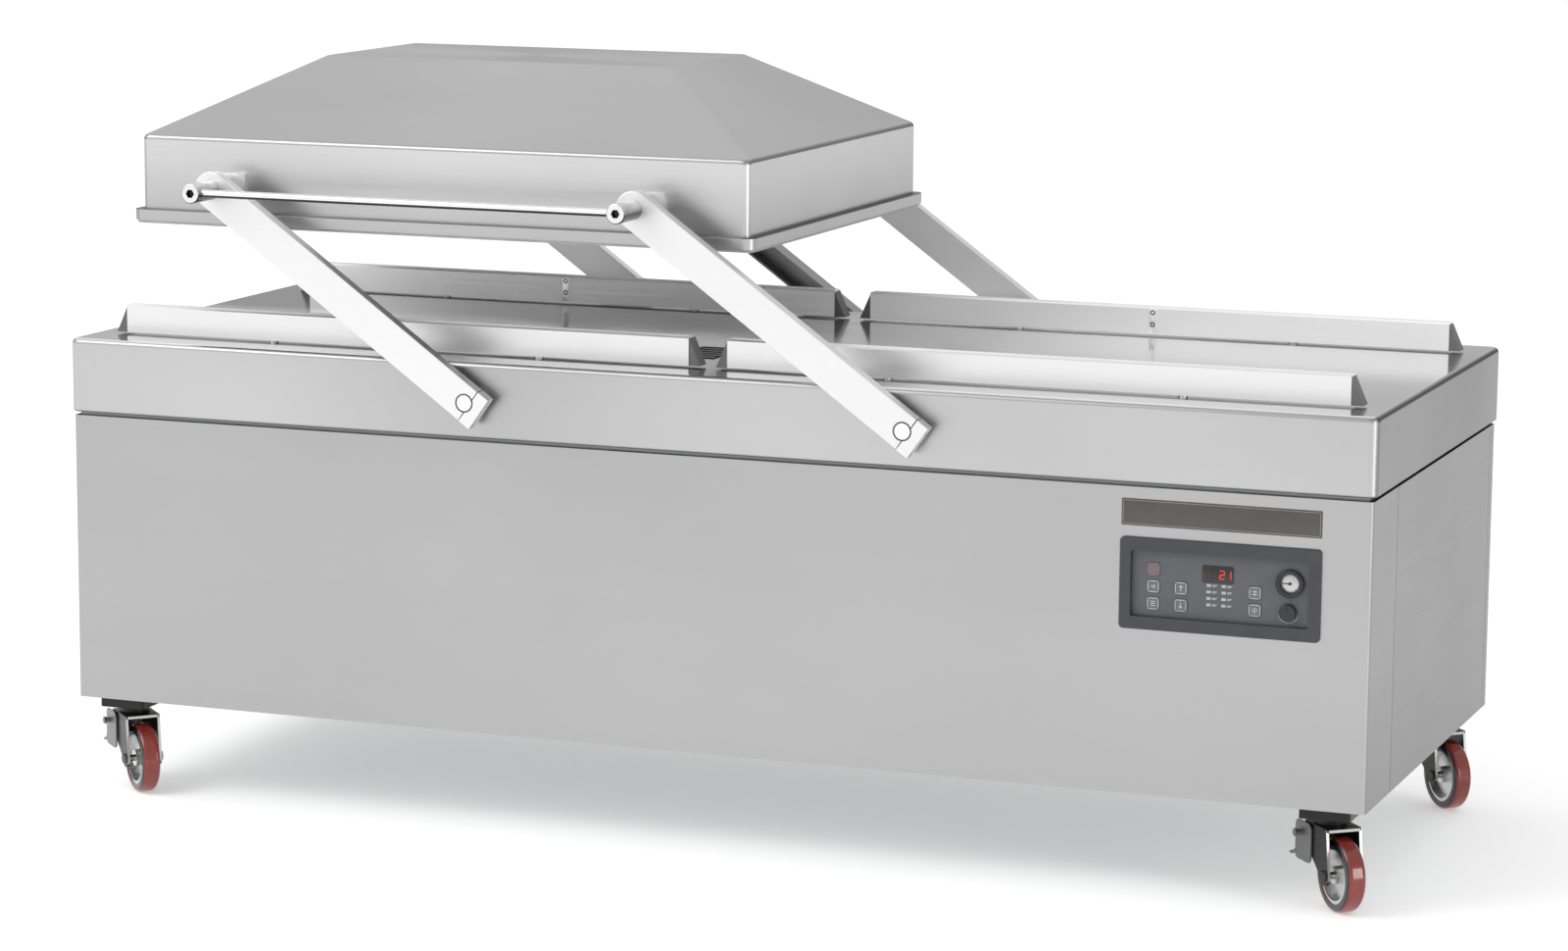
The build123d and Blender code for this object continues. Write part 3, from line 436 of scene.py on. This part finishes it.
# Painted light: the rear bars are the same metal as the front bars, given a lighter tone so that their faces
# come out brighter.
rear_bar_metal = brushed("rear_bar_metal", 0.97, 0.52, 0, contrast=0.02)
inner_steel = coated("inner_steel", (0.30, 0.31, 0.32), 0.45, metal=1.0)
bright_steel = turned("bright_steel", 0.90, 0.20)
handle_steel = turned("handle_steel", 0.86, 0.22)
rod_painted_shade(handle_steel)
pin_steel = turned("pin_steel", 0.85, 0.28)
pump_paint = coated("pump_paint", (0.16, 0.20, 0.23), 0.5)
core_varnish = coated("core_varnish", (0.28, 0.17, 0.10), 0.4)
gland_nylon = coated("gland_nylon", (0.03, 0.03, 0.03), 0.5)
cylinder_nylon = coated("cylinder_nylon", (0.08, 0.08, 0.09), 0.5)
bezel_plastic = coated("bezel_plastic", (0.040, 0.041, 0.049), 0.42)
face_film = coated("face_film", (0.088, 0.090, 0.102), 0.36, variation=0.08)
key_film = coated("key_film", (0.125, 0.128, 0.140), 0.35, variation=0.06)
icon_print = coated("icon_print", (0.62, 0.64, 0.66), 0.45, variation=0.05)
icon_red = coated("icon_red", (0.50, 0.10, 0.07), 0.45, variation=0.05)
gauge_plastic = coated("gauge_plastic", (0.012, 0.012, 0.013), 0.28)
dial_silver = turned("dial_silver", 0.58, 0.35)
needle_paint = coated("needle_paint", (0.02, 0.02, 0.02), 0.4)
knob_plastic = coated("knob_plastic", (0.018, 0.019, 0.021), 0.38)
end_plastic = coated("end_plastic", (0.13, 0.13, 0.13), 0.42)
silicone = coated("silicone", (0.55, 0.53, 0.49), 0.55)
gasket_rubber = coated("gasket_rubber", (0.40, 0.40, 0.39), 0.55)
castor_black = coated("castor_black", (0.008, 0.008, 0.008), 0.35, metal=0.3)
pedal_steel = coated("pedal_steel", (0.24, 0.24, 0.24), 0.38, metal=0.9)
rim_metal = coated("rim_metal", (0.72, 0.72, 0.72), 0.30, metal=1.0)
badge_film = coated("badge_film", (0.085, 0.078, 0.075), 0.34, metal=0.2, variation=0.08)
badge_line = coated("badge_line", (0.34, 0.32, 0.30), 0.40, metal=0.4, variation=0.05)
display_glass = coated("display_glass", (0.006, 0.005, 0.005), 0.10, variation=0.05, depth=0.0, coat=0.5)
lamp_lens = coated("lamp_lens", (0.40, 0.41, 0.42), 0.3)
digit_lit, digit_tree, digit_shader = material("digit_lit")
glow = tinted(digit_tree, noise(digit_tree, (400, 400, 400), 1.0), (0.60, 0.02, 0.01), (0.85, 0.05, 0.03))
for socket in ("Base Color", "Emission Color"):
    link(digit_tree, glow, digit_shader.inputs[socket])
digit_shader.inputs["Emission Strength"].default_value = 0.25
digit_off = coated("digit_off", (0.05, 0.012, 0.010), 0.3)
label_film = coated("label_film", (0.060, 0.060, 0.064), 0.7, variation=0.05)
label_shader = label_film.node_tree.nodes["Principled BSDF"]
label_shader.inputs["Specular IOR Level"].default_value = 0.08
screw_dark = coated("screw_dark", (0.02, 0.02, 0.02), 0.4, metal=0.6)
seal_tape = coated("seal_tape", (0.86, 0.86, 0.85), 0.5, variation=0.04, grain=1500.0)

NODE_MATERIALS = {
    "table_top": table_steel,
    "front_panel": panel_steel,
    "rear_panel": panel_steel,
    "side_panels": side_steel,
    "base_plate": inner_steel,
    "chassis_frame": inner_steel,
    "shaft_bearings": bright_steel,
    "lift_cylinders": cylinder_nylon,
    "vacuum_pump": pump_paint,
    "pump_motor": pump_paint,
    "transformer": core_varnish,
    "mains_gland": gland_nylon,
    "control_bezel": bezel_plastic,
    "control_face": face_film,
    "gauge_case": gauge_plastic,
    "gauge_needle": needle_paint,
    "vacuum_knob": knob_plastic,
    "castor_plates": castor_black,
    "lid_shell": lid_steel,
    "lid_gasket": gasket_rubber,
    "counter_bars": silicone,
    "pivot_blocks": arm_steel,
    "pivot_pins": pin_steel,
    "lid_handle": handle_steel,
    "rear_link": link_steel,
}
for side in ("left", "right"):
    NODE_MATERIALS[f"{side}_cross_shaft"] = pin_steel
    NODE_MATERIALS[f"{side}_front_arm"] = arm_steel
    NODE_MATERIALS[f"{side}_rear_arm"] = arm_steel
    NODE_MATERIALS[f"{side}_arm_clamps"] = arm_steel
    NODE_MATERIALS[f"{side}_front_seal_bar"] = bar_metal
    NODE_MATERIALS[f"{side}_rear_seal_bar"] = rear_bar_metal
    NODE_MATERIALS[f"{side}_seal_bar_ends"] = end_plastic
KEYS = ("stop_key", "menu_key", "select_key", "up_key", "down_key", "vent_key", "pump_key")
for key in KEYS:
    NODE_MATERIALS[key] = key_film
CASTORS = ("front_left", "front_right", "rear_left", "rear_right")
JOINTS = {joint["name"]: joint for joint in frame["joints"]}
for castor in CASTORS:
    axle = Vector(JOINTS[f"{castor}_wheel_spin"]["axis"])
    ahead = Vector((-axle.y, axle.x, 0))
    NODE_MATERIALS[f"{castor}_castor_fork"] = castor_fork_steel(f"{castor}_fork_steel", ahead)
    NODE_MATERIALS[f"{castor}_wheel_rim"] = rim_metal
    NODE_MATERIALS[f"{castor}_tyre"] = castor_tread(f"{castor}_tread", axle)
for castor in CASTORS[:2]:
    NODE_MATERIALS[f"{castor}_brake_pedal"] = pedal_steel

for name, obj in nodes.items():
    obj.data.materials.clear()
    obj.data.materials.append(NODE_MATERIALS[name])


# ---------------------------------------------------------------- geometry helpers
CREASE = radians(35)
QUARTERS = ((1, 1, 0), (-1, 1, 90), (-1, -1, 180), (1, -1, 270))


def piece(name, mesh, mat, body):
    """A new piece of the object that moves with a CAD body."""
    obj = bpy.data.objects.new(name, mesh)
    bpy.context.scene.collection.objects.link(obj)
    mesh.materials.append(mat)
    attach(obj, body)


def mesh_from(bm, name):
    """A smooth mesh with sharp creases, from the bmesh, which is freed."""
    mesh = bpy.data.meshes.new(name)
    bmesh.ops.recalc_face_normals(bm, faces=bm.faces)
    bm.to_mesh(mesh)
    bm.free()
    for polygon in mesh.polygons:
        polygon.use_smooth = True
    mesh.set_sharp_from_angle(angle=CREASE)
    return mesh


def basis(origin, x_dir, z_dir):
    """Matrix of a local frame: x_dir and z_dir are its first and third axes."""
    z = Vector(z_dir).normalized()
    x = Vector(x_dir).normalized()
    y = z.cross(x)
    matrix = Matrix((x, y, z)).transposed().to_4x4()
    matrix.translation = Vector(origin)
    return matrix


def arc(radius, start, end, steps=16, centre=(0, 0)):
    """Points along an arc between two angles in degrees."""
    points = []
    for step in range(steps + 1):
        angle = radians(start + (end - start) * step / steps)
        points.append((centre[0] + radius * cos(angle), centre[1] + radius * sin(angle)))
    return points


def plate(bm, place, width, height, depth, radius, edge=0.0003, steps=5):
    """A rounded plate of that depth along its local z, with small bevels on its front edge."""
    ring = []
    for cx, cy, start in QUARTERS:
        centre = (cx * (width / 2 - radius), cy * (height / 2 - radius))
        ring += arc(radius, start, start + 90, steps, centre)
    layers = [(0.0, 0.0), (depth - edge, 0.0), (depth - edge * 0.3, edge * 0.3), (depth, edge)]
    grids = []
    for z, inset in layers:
        kx = (width - 2 * inset) / width
        ky = (height - 2 * inset) / height
        grids.append([bm.verts.new(place @ Vector((x * kx, y * ky, z))) for x, y in ring])
    count = len(ring)
    for low, high in zip(grids, grids[1:]):
        for i in range(count):
            j = (i + 1) % count
            bm.faces.new((low[i], low[j], high[j], high[i]))
    bm.faces.new(grids[-1])
    bm.faces.new(list(reversed(grids[0])))


def lathe(bm, place, profile, steps=48):
    """A surface turned about the local z axis; profile is a list of (radius, height)."""
    rings = []
    for radius, height in profile:
        if radius == 0:
            rings.append([bm.verts.new(place @ Vector((0, 0, height)))])
            continue
        ring = []
        for step in range(steps):
            angle = tau * step / steps
            ring.append(bm.verts.new(place @ Vector((radius * cos(angle), radius * sin(angle), height))))
        rings.append(ring)
    for low, high in zip(rings, rings[1:]):
        for i in range(steps):
            j = (i + 1) % steps
            if len(low) == 1:
                bm.faces.new((low[0], high[j], high[i]))
            elif len(high) == 1:
                bm.faces.new((low[i], low[j], high[0]))
            else:
                bm.faces.new((low[i], low[j], high[j], high[i]))


def stroke(bm, place, points, width, depth, closed=False):
    """A flat printed or moulded line through the points, standing depth proud of the local plane."""
    pairs = list(zip(points, points[1:]))
    if closed:
        pairs.append((points[-1], points[0]))
    for (x0, y0), (x1, y1) in pairs:
        along = Vector((x1 - x0, y1 - y0, 0))
        length = along.length
        middle = Vector(((x0 + x1) / 2, (y0 + y1) / 2, 0))
        turn = Matrix.Rotation(along.angle(Vector((1, 0, 0))) * (1 if along.y >= 0 else -1), 4, "Z")
        local = place @ Matrix.Translation(middle) @ turn
        plate(bm, local, length + width, width, depth, width * 0.3, edge=depth * 0.3, steps=2)


def facing_front(x, y, z):
    """Local frame on a face that looks to the front: x to the right, y up, z towards the front."""
    return basis((x, y, z), (1, 0, 0), (0, -1, 0))


# ---------------------------------------------------------------- control panel dressing
FACE_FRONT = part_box("control_face")[0].y
PRINT = 0.00025
BADGE_X, BADGE_DROP, BADGE_DEPTH = 0.816, 0.1575, 0.0012
DISPLAY_DROP = 240.5
WINDOW_DEPTH = 0.0012
LAMPS_X, LAMPS_DROP = 799, 257
LAMP_COLUMN, LAMP_ROW = 22, 9.4
LAMP_LINES = 8.5


def panel_place(x, drop, lift=0.0):
    """A place on the control face, in millimetres from the machine's centre and down from the table."""
    return facing_front(x * MM, FACE_FRONT - lift, TABLE_Z - drop * MM)


bm = bmesh.new()
badge_place = facing_front(BADGE_X, PANEL_FRONT, TABLE_Z - BADGE_DROP)
plate(bm, badge_place, 0.294, 0.039, BADGE_DEPTH, 0.0015, edge=0.0004)
piece("badge_strip", mesh_from(bm, "badge_strip"), badge_film, "base")
bm = bmesh.new()
border = [(-0.1445, -0.0170), (0.1445, -0.0170), (0.1445, 0.0170), (-0.1445, 0.0170)]
badge_face = facing_front(BADGE_X, PANEL_FRONT - BADGE_DEPTH, TABLE_Z - BADGE_DROP)
stroke(bm, badge_face, border, 0.0006, 0.0001, closed=True)
piece("badge_border", mesh_from(bm, "badge_border"), badge_line, "base")

bm = bmesh.new()
plate(bm, panel_place(812, DISPLAY_DROP), 0.046, 0.025, WINDOW_DEPTH, 0.002, edge=0.0003)
piece("display_window", mesh_from(bm, "display_window"), display_glass, "base")

SEGMENTS = {
    "a": ((-0.5, 1), (0.5, 1)),
    "b": ((0.5, 1), (0.5, 0)),
    "c": ((0.5, 0), (0.5, -1)),
    "d": ((-0.5, -1), (0.5, -1)),
    "e": ((-0.5, 0), (-0.5, -1)),
    "f": ((-0.5, 1), (-0.5, 0)),
    "g": ((-0.5, 0), (0.5, 0)),
}
SEGMENT_REACH = 0.0058
SEGMENT_SHRINK = 0.82
SEGMENT_SLACK = 1.1


def digit(bm, x, drop, lit):
    """One seven-segment digit; lit names its shown segments."""
    for segment in lit:
        ends = SEGMENTS[segment]
        middle_x = (ends[0][0] + ends[1][0]) / 2
        middle_y = (ends[0][1] + ends[1][1]) / 2
        points = []
        for end_x, end_y in ends:
            px = middle_x + (end_x - middle_x) * SEGMENT_SHRINK
            py = middle_y + (end_y - middle_y) * SEGMENT_SHRINK
            points.append((px * SEGMENT_REACH * SEGMENT_SLACK, py * SEGMENT_REACH))
        stroke(bm, panel_place(x, drop, WINDOW_DEPTH), points, 0.0016, PRINT)


bm = bmesh.new()
digit(bm, 818.5, DISPLAY_DROP, "abged")
digit(bm, 828, DISPLAY_DROP, "bc")
piece("digits_lit", mesh_from(bm, "digits_lit"), digit_lit, "base")
bm = bmesh.new()
digit(bm, 799, DISPLAY_DROP, "abcdefg")
digit(bm, 808.5, DISPLAY_DROP, "abcdefg")
piece("digits_dark", mesh_from(bm, "digits_dark"), digit_off, "base")

lamps = bmesh.new()
lines = bmesh.new()
for column in range(2):
    for row in range(4):
        x = LAMPS_X + LAMP_COLUMN * column
        drop = LAMPS_DROP + LAMP_ROW * row
        plate(lamps, panel_place(x, drop), 0.0065, 0.0042, 0.0006, 0.0006, edge=0.0002)
        beside = panel_place(x + LAMP_LINES, drop)
        stroke(lines, beside, [(-0.0032, 0.0008), (0.0036, 0.0008)], 0.0007, PRINT)
        stroke(lines, beside, [(-0.0032, -0.0010), (0.0016, -0.0010)], 0.0007, PRINT)
piece("indicator_lamps", mesh_from(lamps, "indicator_lamps"), lamp_lens, "base")
piece("indicator_lines", mesh_from(lines, "indicator_lines"), icon_print, "base")

KEY_HALF = 0.0078
KEY_CORNER = 0.002


def key_icon(key, lines, mat):
    """Border and pictogram printed on one key."""
    low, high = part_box(key)
    place = facing_front((low.x + high.x) / 2, low.y, (low.z + high.z) / 2)
    bm = bmesh.new()
    border = []
    for cx, cy, start in QUARTERS:
        centre = (cx * (KEY_HALF - KEY_CORNER), cy * (KEY_HALF - KEY_CORNER))
        border += arc(KEY_CORNER, start, start + 90, 4, centre)
    stroke(bm, place, border, 0.0007, PRINT, closed=True)
    for points in lines:
        stroke(bm, place, [(px * MM, py * MM) for px, py in points], 0.0008, PRINT)
    piece(key + "_icon", mesh_from(bm, key + "_icon"), mat, key + "_body")


key_icon("stop_key", [[(-1.5, -3.5), (1.5, 3.5)]], icon_red)
key_icon("menu_key", [[(-3.5, 0), (3, 0)], [(0.5, 2.5), (3, 0), (0.5, -2.5)]], icon_print)
key_icon("select_key", [[(-3, 3), (3, 3)], [(-3, 0), (3, 0)], [(-3, -3), (3, -3)]], icon_print)
key_icon("up_key", [[(0, -4), (0, 4)], [(-2.5, 1.5), (0, 4), (2.5, 1.5)]], icon_print)
key_icon("down_key", [[(0, 4), (0, -4)], [(-2.5, -1.5), (0, -4), (2.5, -1.5)]], icon_print)
key_icon("vent_key", [[(-3.5, 2), (3.5, 2)], [(-3.5, -2), (3.5, -2)], [(0, -4), (0, 4)]], icon_print)
key_icon("pump_key", [arc(3.6, 0, 360, 18), [(-1.2, -1.6), (1.8, 0), (-1.2, 1.6)]], icon_print)

case_low, case_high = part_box("gauge_case")
gauge_x = (case_low.x + case_high.x) / 2
gauge_z = (case_low.z + case_high.z) / 2
DIAL_Y = FACE_FRONT - 0.0025
DIAL_DEPTH = 0.0003
MARK_COUNT, FIRST_MARK, MARK_STEP = 11, 225, 27
MARK_OUTER = 0.0134
bm = bmesh.new()
dial_place = facing_front(gauge_x, DIAL_Y, gauge_z)
dial = [(0.0013, 0.0), (0.0013, DIAL_DEPTH), (0.0140, DIAL_DEPTH), (0.0143, 0.0001), (0.0143, 0.0)]
lathe(bm, dial_place, dial)
piece("gauge_dial", mesh_from(bm, "gauge_dial"), dial_silver, "base")
bm = bmesh.new()
for mark in range(MARK_COUNT):
    angle = radians(FIRST_MARK - MARK_STEP * mark)
    inner = 0.0108 if mark % 5 == 0 else 0.0119
    ends = [(inner * cos(angle), inner * sin(angle)), (MARK_OUTER * cos(angle), MARK_OUTER * sin(angle))]
    stroke(bm, facing_front(gauge_x, DIAL_Y - DIAL_DEPTH, gauge_z), ends, 0.0006, 0.0001)
piece("gauge_marks", mesh_from(bm, "gauge_marks"), needle_paint, "base")

# A printed arc over the knob
bm = bmesh.new()
stroke(bm, panel_place(916, 266), arc(0.0152, 200, 340, 14, (0, -0.0212)), 0.0006, PRINT)
piece("knob_scale", mesh_from(bm, "knob_scale"), icon_print, "base")


# ---------------------------------------------------------------- seal bars
TAPE_LENGTH, TAPE_WIDTH, TAPE_DEPTH = 0.948, 0.020, 0.0003
TAPE_INSET = 0.014
PIN_REACH = 0.048
JOINT_SCREWS = (0.012, 0.031)
COVER_WIDTH, COVER_HEIGHT, COVER_DEPTH = 0.0105, 0.0375, 0.0005
COVER_DROP = 0.0215


def bar_dressing(node, body, inward):
    """Non-stick tape and seal wires along the top of a bar, and the screws of its joint plate."""
    low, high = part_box(node)
    middle = (low.x + high.x) / 2
    y = high.y - TAPE_INSET if inward < 0 else low.y + TAPE_INSET
    top = high.z
    bm = bmesh.new()
    tape_place = basis((middle, y, top), (1, 0, 0), (0, 0, 1))
    plate(bm, tape_place, TAPE_LENGTH, TAPE_WIDTH, TAPE_DEPTH, 0.0005, edge=0.0001)
    piece(node + "_tape", mesh_from(bm, node + "_tape"), seal_tape, body)
    bm = bmesh.new()
    for offset in (-0.004, 0.004):
        wire_place = basis((middle, y + offset, top + TAPE_DEPTH), (1, 0, 0), (0, 0, 1))
        plate(bm, wire_place, TAPE_LENGTH - 0.002, 0.0028, 0.0005, 0.0005, edge=0.0003)
    piece(node + "_wires", mesh_from(bm, node + "_wires"), seal_tape, body)
    bm = bmesh.new()
    face_y = low.y if inward < 0 else high.y
    head = [(0.0, -0.0004), (0.0016, -0.0004), (0.0022, 0.0006), (0.0036, 0.0008), (0.0042, 0.0004),
            (0.0043, -0.0002)]
    for height in JOINT_SCREWS:
        place = basis((middle, face_y, low.z + PIN_REACH + height), (1, 0, 0), (0, inward, 0))
        lathe(bm, place, head, 24)
    piece(node + "_screws", mesh_from(bm, node + "_screws"), screw_dark, body)


def joint_cover(node, body, inward):
    """Bright cover over the bar's joint, on its inner side."""
    low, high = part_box(node)
    middle = (low.x + high.x) / 2
    face_y = high.y if inward > 0 else low.y
    bm = bmesh.new()
    place = basis((middle, face_y, high.z - COVER_DROP), (-inward, 0, 0), (0, inward, 0))
    plate(bm, place, COVER_WIDTH, COVER_HEIGHT, COVER_DEPTH, 0.0008, edge=0.0002)
    piece(node + "_cover", mesh_from(bm, node + "_cover"), joint_metal, body)


for side in ("left", "right"):
    joint_cover(f"{side}_front_seal_bar", f"{side}_bars", 1)
    joint_cover(f"{side}_rear_seal_bar", f"{side}_bars", -1)
    bar_dressing(f"{side}_front_seal_bar", f"{side}_bars", 1)
    bar_dressing(f"{side}_rear_seal_bar", f"{side}_bars", -1)

# ---------------------------------------------------------------- clamp screws
ARM_SLOPE = radians(35.56)
SCREW_SEAT = 0.0218
SCREW_ENDS = 0.010
SCREW_SPREAD = 0.018
for side in ("left", "right"):
    low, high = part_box(f"{side}_arm_clamps")
    shaft_low, shaft_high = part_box(f"{side}_cross_shaft")
    centre = Vector(((shaft_low.x + shaft_high.x) / 2, 0, (shaft_low.z + shaft_high.z) / 2))
    away = Vector((cos(ARM_SLOPE), 0, -sin(ARM_SLOPE)))
    across = Vector((away.z, 0, -away.x))
    head = [(0.0, 0.0020), (0.0024, 0.0020), (0.0024, 0.0050), (0.0044, 0.0050), (0.0050, 0.0044),
            (0.0050, 0.0)]
    bm = bmesh.new()
    for y in (low.y + SCREW_ENDS, high.y - SCREW_ENDS):
        for offset in (-SCREW_SPREAD, SCREW_SPREAD):
            origin = centre + away * SCREW_SEAT + across * offset
            origin.y = y
            lathe(bm, basis(origin, (0, 1, 0), away), head, 32)
    name = f"{side}_clamp_screws"
    piece(name, mesh_from(bm, name), pin_steel, f"{side}_swing")

# ---------------------------------------------------------------- shaft ends, sockets, label, base screws
FRONT_ARM_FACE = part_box("left_front_arm")[0].y
REAR_ARM_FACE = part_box("left_rear_arm")[1].y
BOSS_RADIUS = 0.015
SOCKET_DEPTH = 0.0078
# Painted shade: a thin dark ring at each shaft end, on the arm faces, stands for the shaded gap between the
# shaft and the arm's bore.
for side in ("left", "right"):
    shaft_low, shaft_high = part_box(f"{side}_cross_shaft")
    x, z = (shaft_low.x + shaft_high.x) / 2, (shaft_low.z + shaft_high.z) / 2
    bm = bmesh.new()
    for y, outward in ((FRONT_ARM_FACE, -1), (REAR_ARM_FACE, 1)):
        place = basis((x, y, z), (1, 0, 0), (0, outward, 0))
        lathe(bm, place, [(0.0127, -0.0002), (0.0130, 0.0003), (0.0142, 0.0003), (0.0145, -0.0002)], 40)
    name = f"{side}_shaft_gap_shade"
    piece(name, mesh_from(bm, name), screw_dark, f"{side}_swing")

handle_low, handle_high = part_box("lid_handle")
bm = bmesh.new()
for x in (handle_low.x + BOSS_RADIUS, handle_high.x - BOSS_RADIUS):
    place = facing_front(x, handle_low.y + SOCKET_DEPTH, (handle_low.z + handle_high.z) / 2)
    lathe(bm, place, [(0.0, 0.0), (0.0050, 0.0002), (0.0058, 0.0004), (0.0060, 0.0060), (0.0062, 0.0074)], 6)
piece("handle_sockets", mesh_from(bm, "handle_sockets"), screw_dark, "lid")

# A plain label lies on the table, seen between the two front bars; ruled lines stand for its text
BAR_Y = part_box("left_front_seal_bar")[0].y
LABEL_X, LABEL_BEHIND_BAR = -0.065, 0.165
LABEL_WIDTH, LABEL_LENGTH = 0.070, 0.130
LINE_REACH, FIRST_LINE, LINE_STEP = 0.026, 0.044, 0.022
label_place = basis((LABEL_X, BAR_Y + LABEL_BEHIND_BAR, TABLE_Z), (1, 0, 0), (0, 0, 1))
bm = bmesh.new()
plate(bm, label_place, LABEL_WIDTH, LABEL_LENGTH, PRINT, 0.002, edge=0.0001)
piece("centre_label", mesh_from(bm, "centre_label"), label_film, "base")
bm = bmesh.new()
label_face = label_place @ Matrix.Translation((0, 0, PRINT))
for row in range(5):
    y = FIRST_LINE - LINE_STEP * row
    stroke(bm, label_face, [(-LINE_REACH, y), (LINE_REACH, y)], 0.006, 0.00005)
piece("centre_label_lines", mesh_from(bm, "centre_label_lines"), icon_print, "base")

bm = bmesh.new()
panel_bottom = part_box("front_panel")[0].z
plate_low, plate_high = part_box("castor_plates")
for x in (plate_low.x - 0.012, plate_high.x - 0.090):
    place = basis((x, plate_low.y + 0.012, panel_bottom), (1, 0, 0), (0, 0, -1))
    lathe(bm, place, [(0.0, 0.0040), (0.0030, 0.0040), (0.0052, 0.0030), (0.0056, 0.0010), (0.0056, 0.0)], 24)
piece("base_screws", mesh_from(bm, "base_screws"), screw_dark, "base")

# ---------------------------------------------------------------- floor, light and camera
floor_mesh = bpy.data.meshes.new("floor")
floor_mesh.from_pydata([(-60, -40, 0), (60, -40, 0), (60, 80, 0), (-60, 80, 0)], [], [(0, 1, 2, 3)])
floor = bpy.data.objects.new("floor", floor_mesh)
bpy.context.scene.collection.objects.link(floor)
floor_paint, floor_tree, floor_shader = material("floor_paint")
grit = noise(floor_tree, (2.0, 2.0, 2.0), 1.0, detail=3.0)
floor_tone = tinted(floor_tree, grit, (0.88, 0.88, 0.88), (0.90, 0.90, 0.90))
link(floor_tree, floor_tone, floor_shader.inputs["Base Color"])
floor_shader.inputs["Roughness"].default_value = 0.9
floor_shader.inputs["Specular IOR Level"].default_value = 0.0
floor_shader.inputs["Emission Color"].default_value = (1, 1, 1, 1)
floor_shader.inputs["Emission Strength"].default_value = 0.35
floor_mesh.materials.append(floor_paint)
floor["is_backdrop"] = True

world = bpy.data.worlds.new("studio")
bpy.context.scene.world = world
world.use_nodes = True
tree = world.node_tree
background = tree.nodes["Background"]
direction = add(tree, "ShaderNodeTexCoord")
axes = add(tree, "ShaderNodeSeparateXYZ")
link(tree, direction.outputs["Generated"], axes.inputs["Vector"])
# The room is lighter to the left, and darker low down at the back
left_light = add(tree, "ShaderNodeMapRange")
left_light.inputs["From Min"].default_value = -1.0
left_light.inputs["From Max"].default_value = 1.0
left_light.inputs["To Min"].default_value = 0.98
left_light.inputs["To Max"].default_value = 0.62
link(tree, axes.outputs["X"], left_light.inputs["Value"])
low_sky = add(tree, "ShaderNodeMapRange")
low_sky.inputs["From Min"].default_value = 0.05
low_sky.inputs["From Max"].default_value = 0.45
low_sky.inputs["To Min"].default_value = 0.42
low_sky.inputs["To Max"].default_value = 1.05
link(tree, axes.outputs["Z"], low_sky.inputs["Value"])
to_back = add(tree, "ShaderNodeMapRange")
to_back.inputs["From Min"].default_value = -0.15
to_back.inputs["From Max"].default_value = 0.25
link(tree, axes.outputs["Y"], to_back.inputs["Value"])
back_sky = two_levels(tree, to_back.outputs["Result"], 1.0, low_sky.outputs["Result"])
link(tree, total(tree, left_light.outputs["Result"], back_sky, "MULTIPLY"), background.inputs["Strength"])
background.inputs["Color"].default_value = (1.0, 1.0, 1.0, 1.0)


def soft_box(name, place, target, width, height, power):
    """An area light of that size and power in watts, aimed at the target."""
    data = bpy.data.lights.new(name, "AREA")
    data.shape = "RECTANGLE"
    data.size = width
    data.size_y = height
    data.energy = power
    lamp = bpy.data.objects.new(name, data)
    bpy.context.scene.collection.objects.link(lamp)
    lamp.location = place
    lamp.rotation_euler = (Vector(target) - Vector(place)).to_track_quat("-Z", "Y").to_euler()


soft_box("key_light", (-3.2, -3.5, 4.2), (0, 0, 0.6), 3.5, 2.5, 110)
soft_box("corner_light", (5.5, -2.1, 1.2), (1.0, -0.4, 0.6), 0.9, 2.4, 45)

AZIMUTH = radians(20.801)
ELEVATION = radians(9.323)
ROLL = radians(0.423)
LENS = 102.78
CAMERA_PLACE = (2.4587, BODY_Y - 6.4772, 1.6486)
forward = Vector((-sin(AZIMUTH) * cos(ELEVATION), cos(AZIMUTH) * cos(ELEVATION), -sin(ELEVATION)))
level_right = Vector((cos(AZIMUTH), sin(AZIMUTH), 0))
level_up = level_right.cross(forward)
camera_right = cos(ROLL) * level_right + sin(ROLL) * level_up
camera_up = -sin(ROLL) * level_right + cos(ROLL) * level_up
camera_data = bpy.data.cameras.new("camera")
camera_data.sensor_width = 36.0
camera_data.lens = LENS
camera_data.clip_end = 200.0
camera = bpy.data.objects.new("camera", camera_data)
bpy.context.scene.collection.objects.link(camera)
camera_matrix = Matrix((camera_right, camera_up, -forward)).transposed().to_4x4()
camera_matrix.translation = Vector(CAMERA_PLACE)
camera.matrix_world = camera_matrix
bpy.context.scene.camera = camera
bpy.context.scene.view_settings.view_transform = "Standard"

low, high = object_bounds()
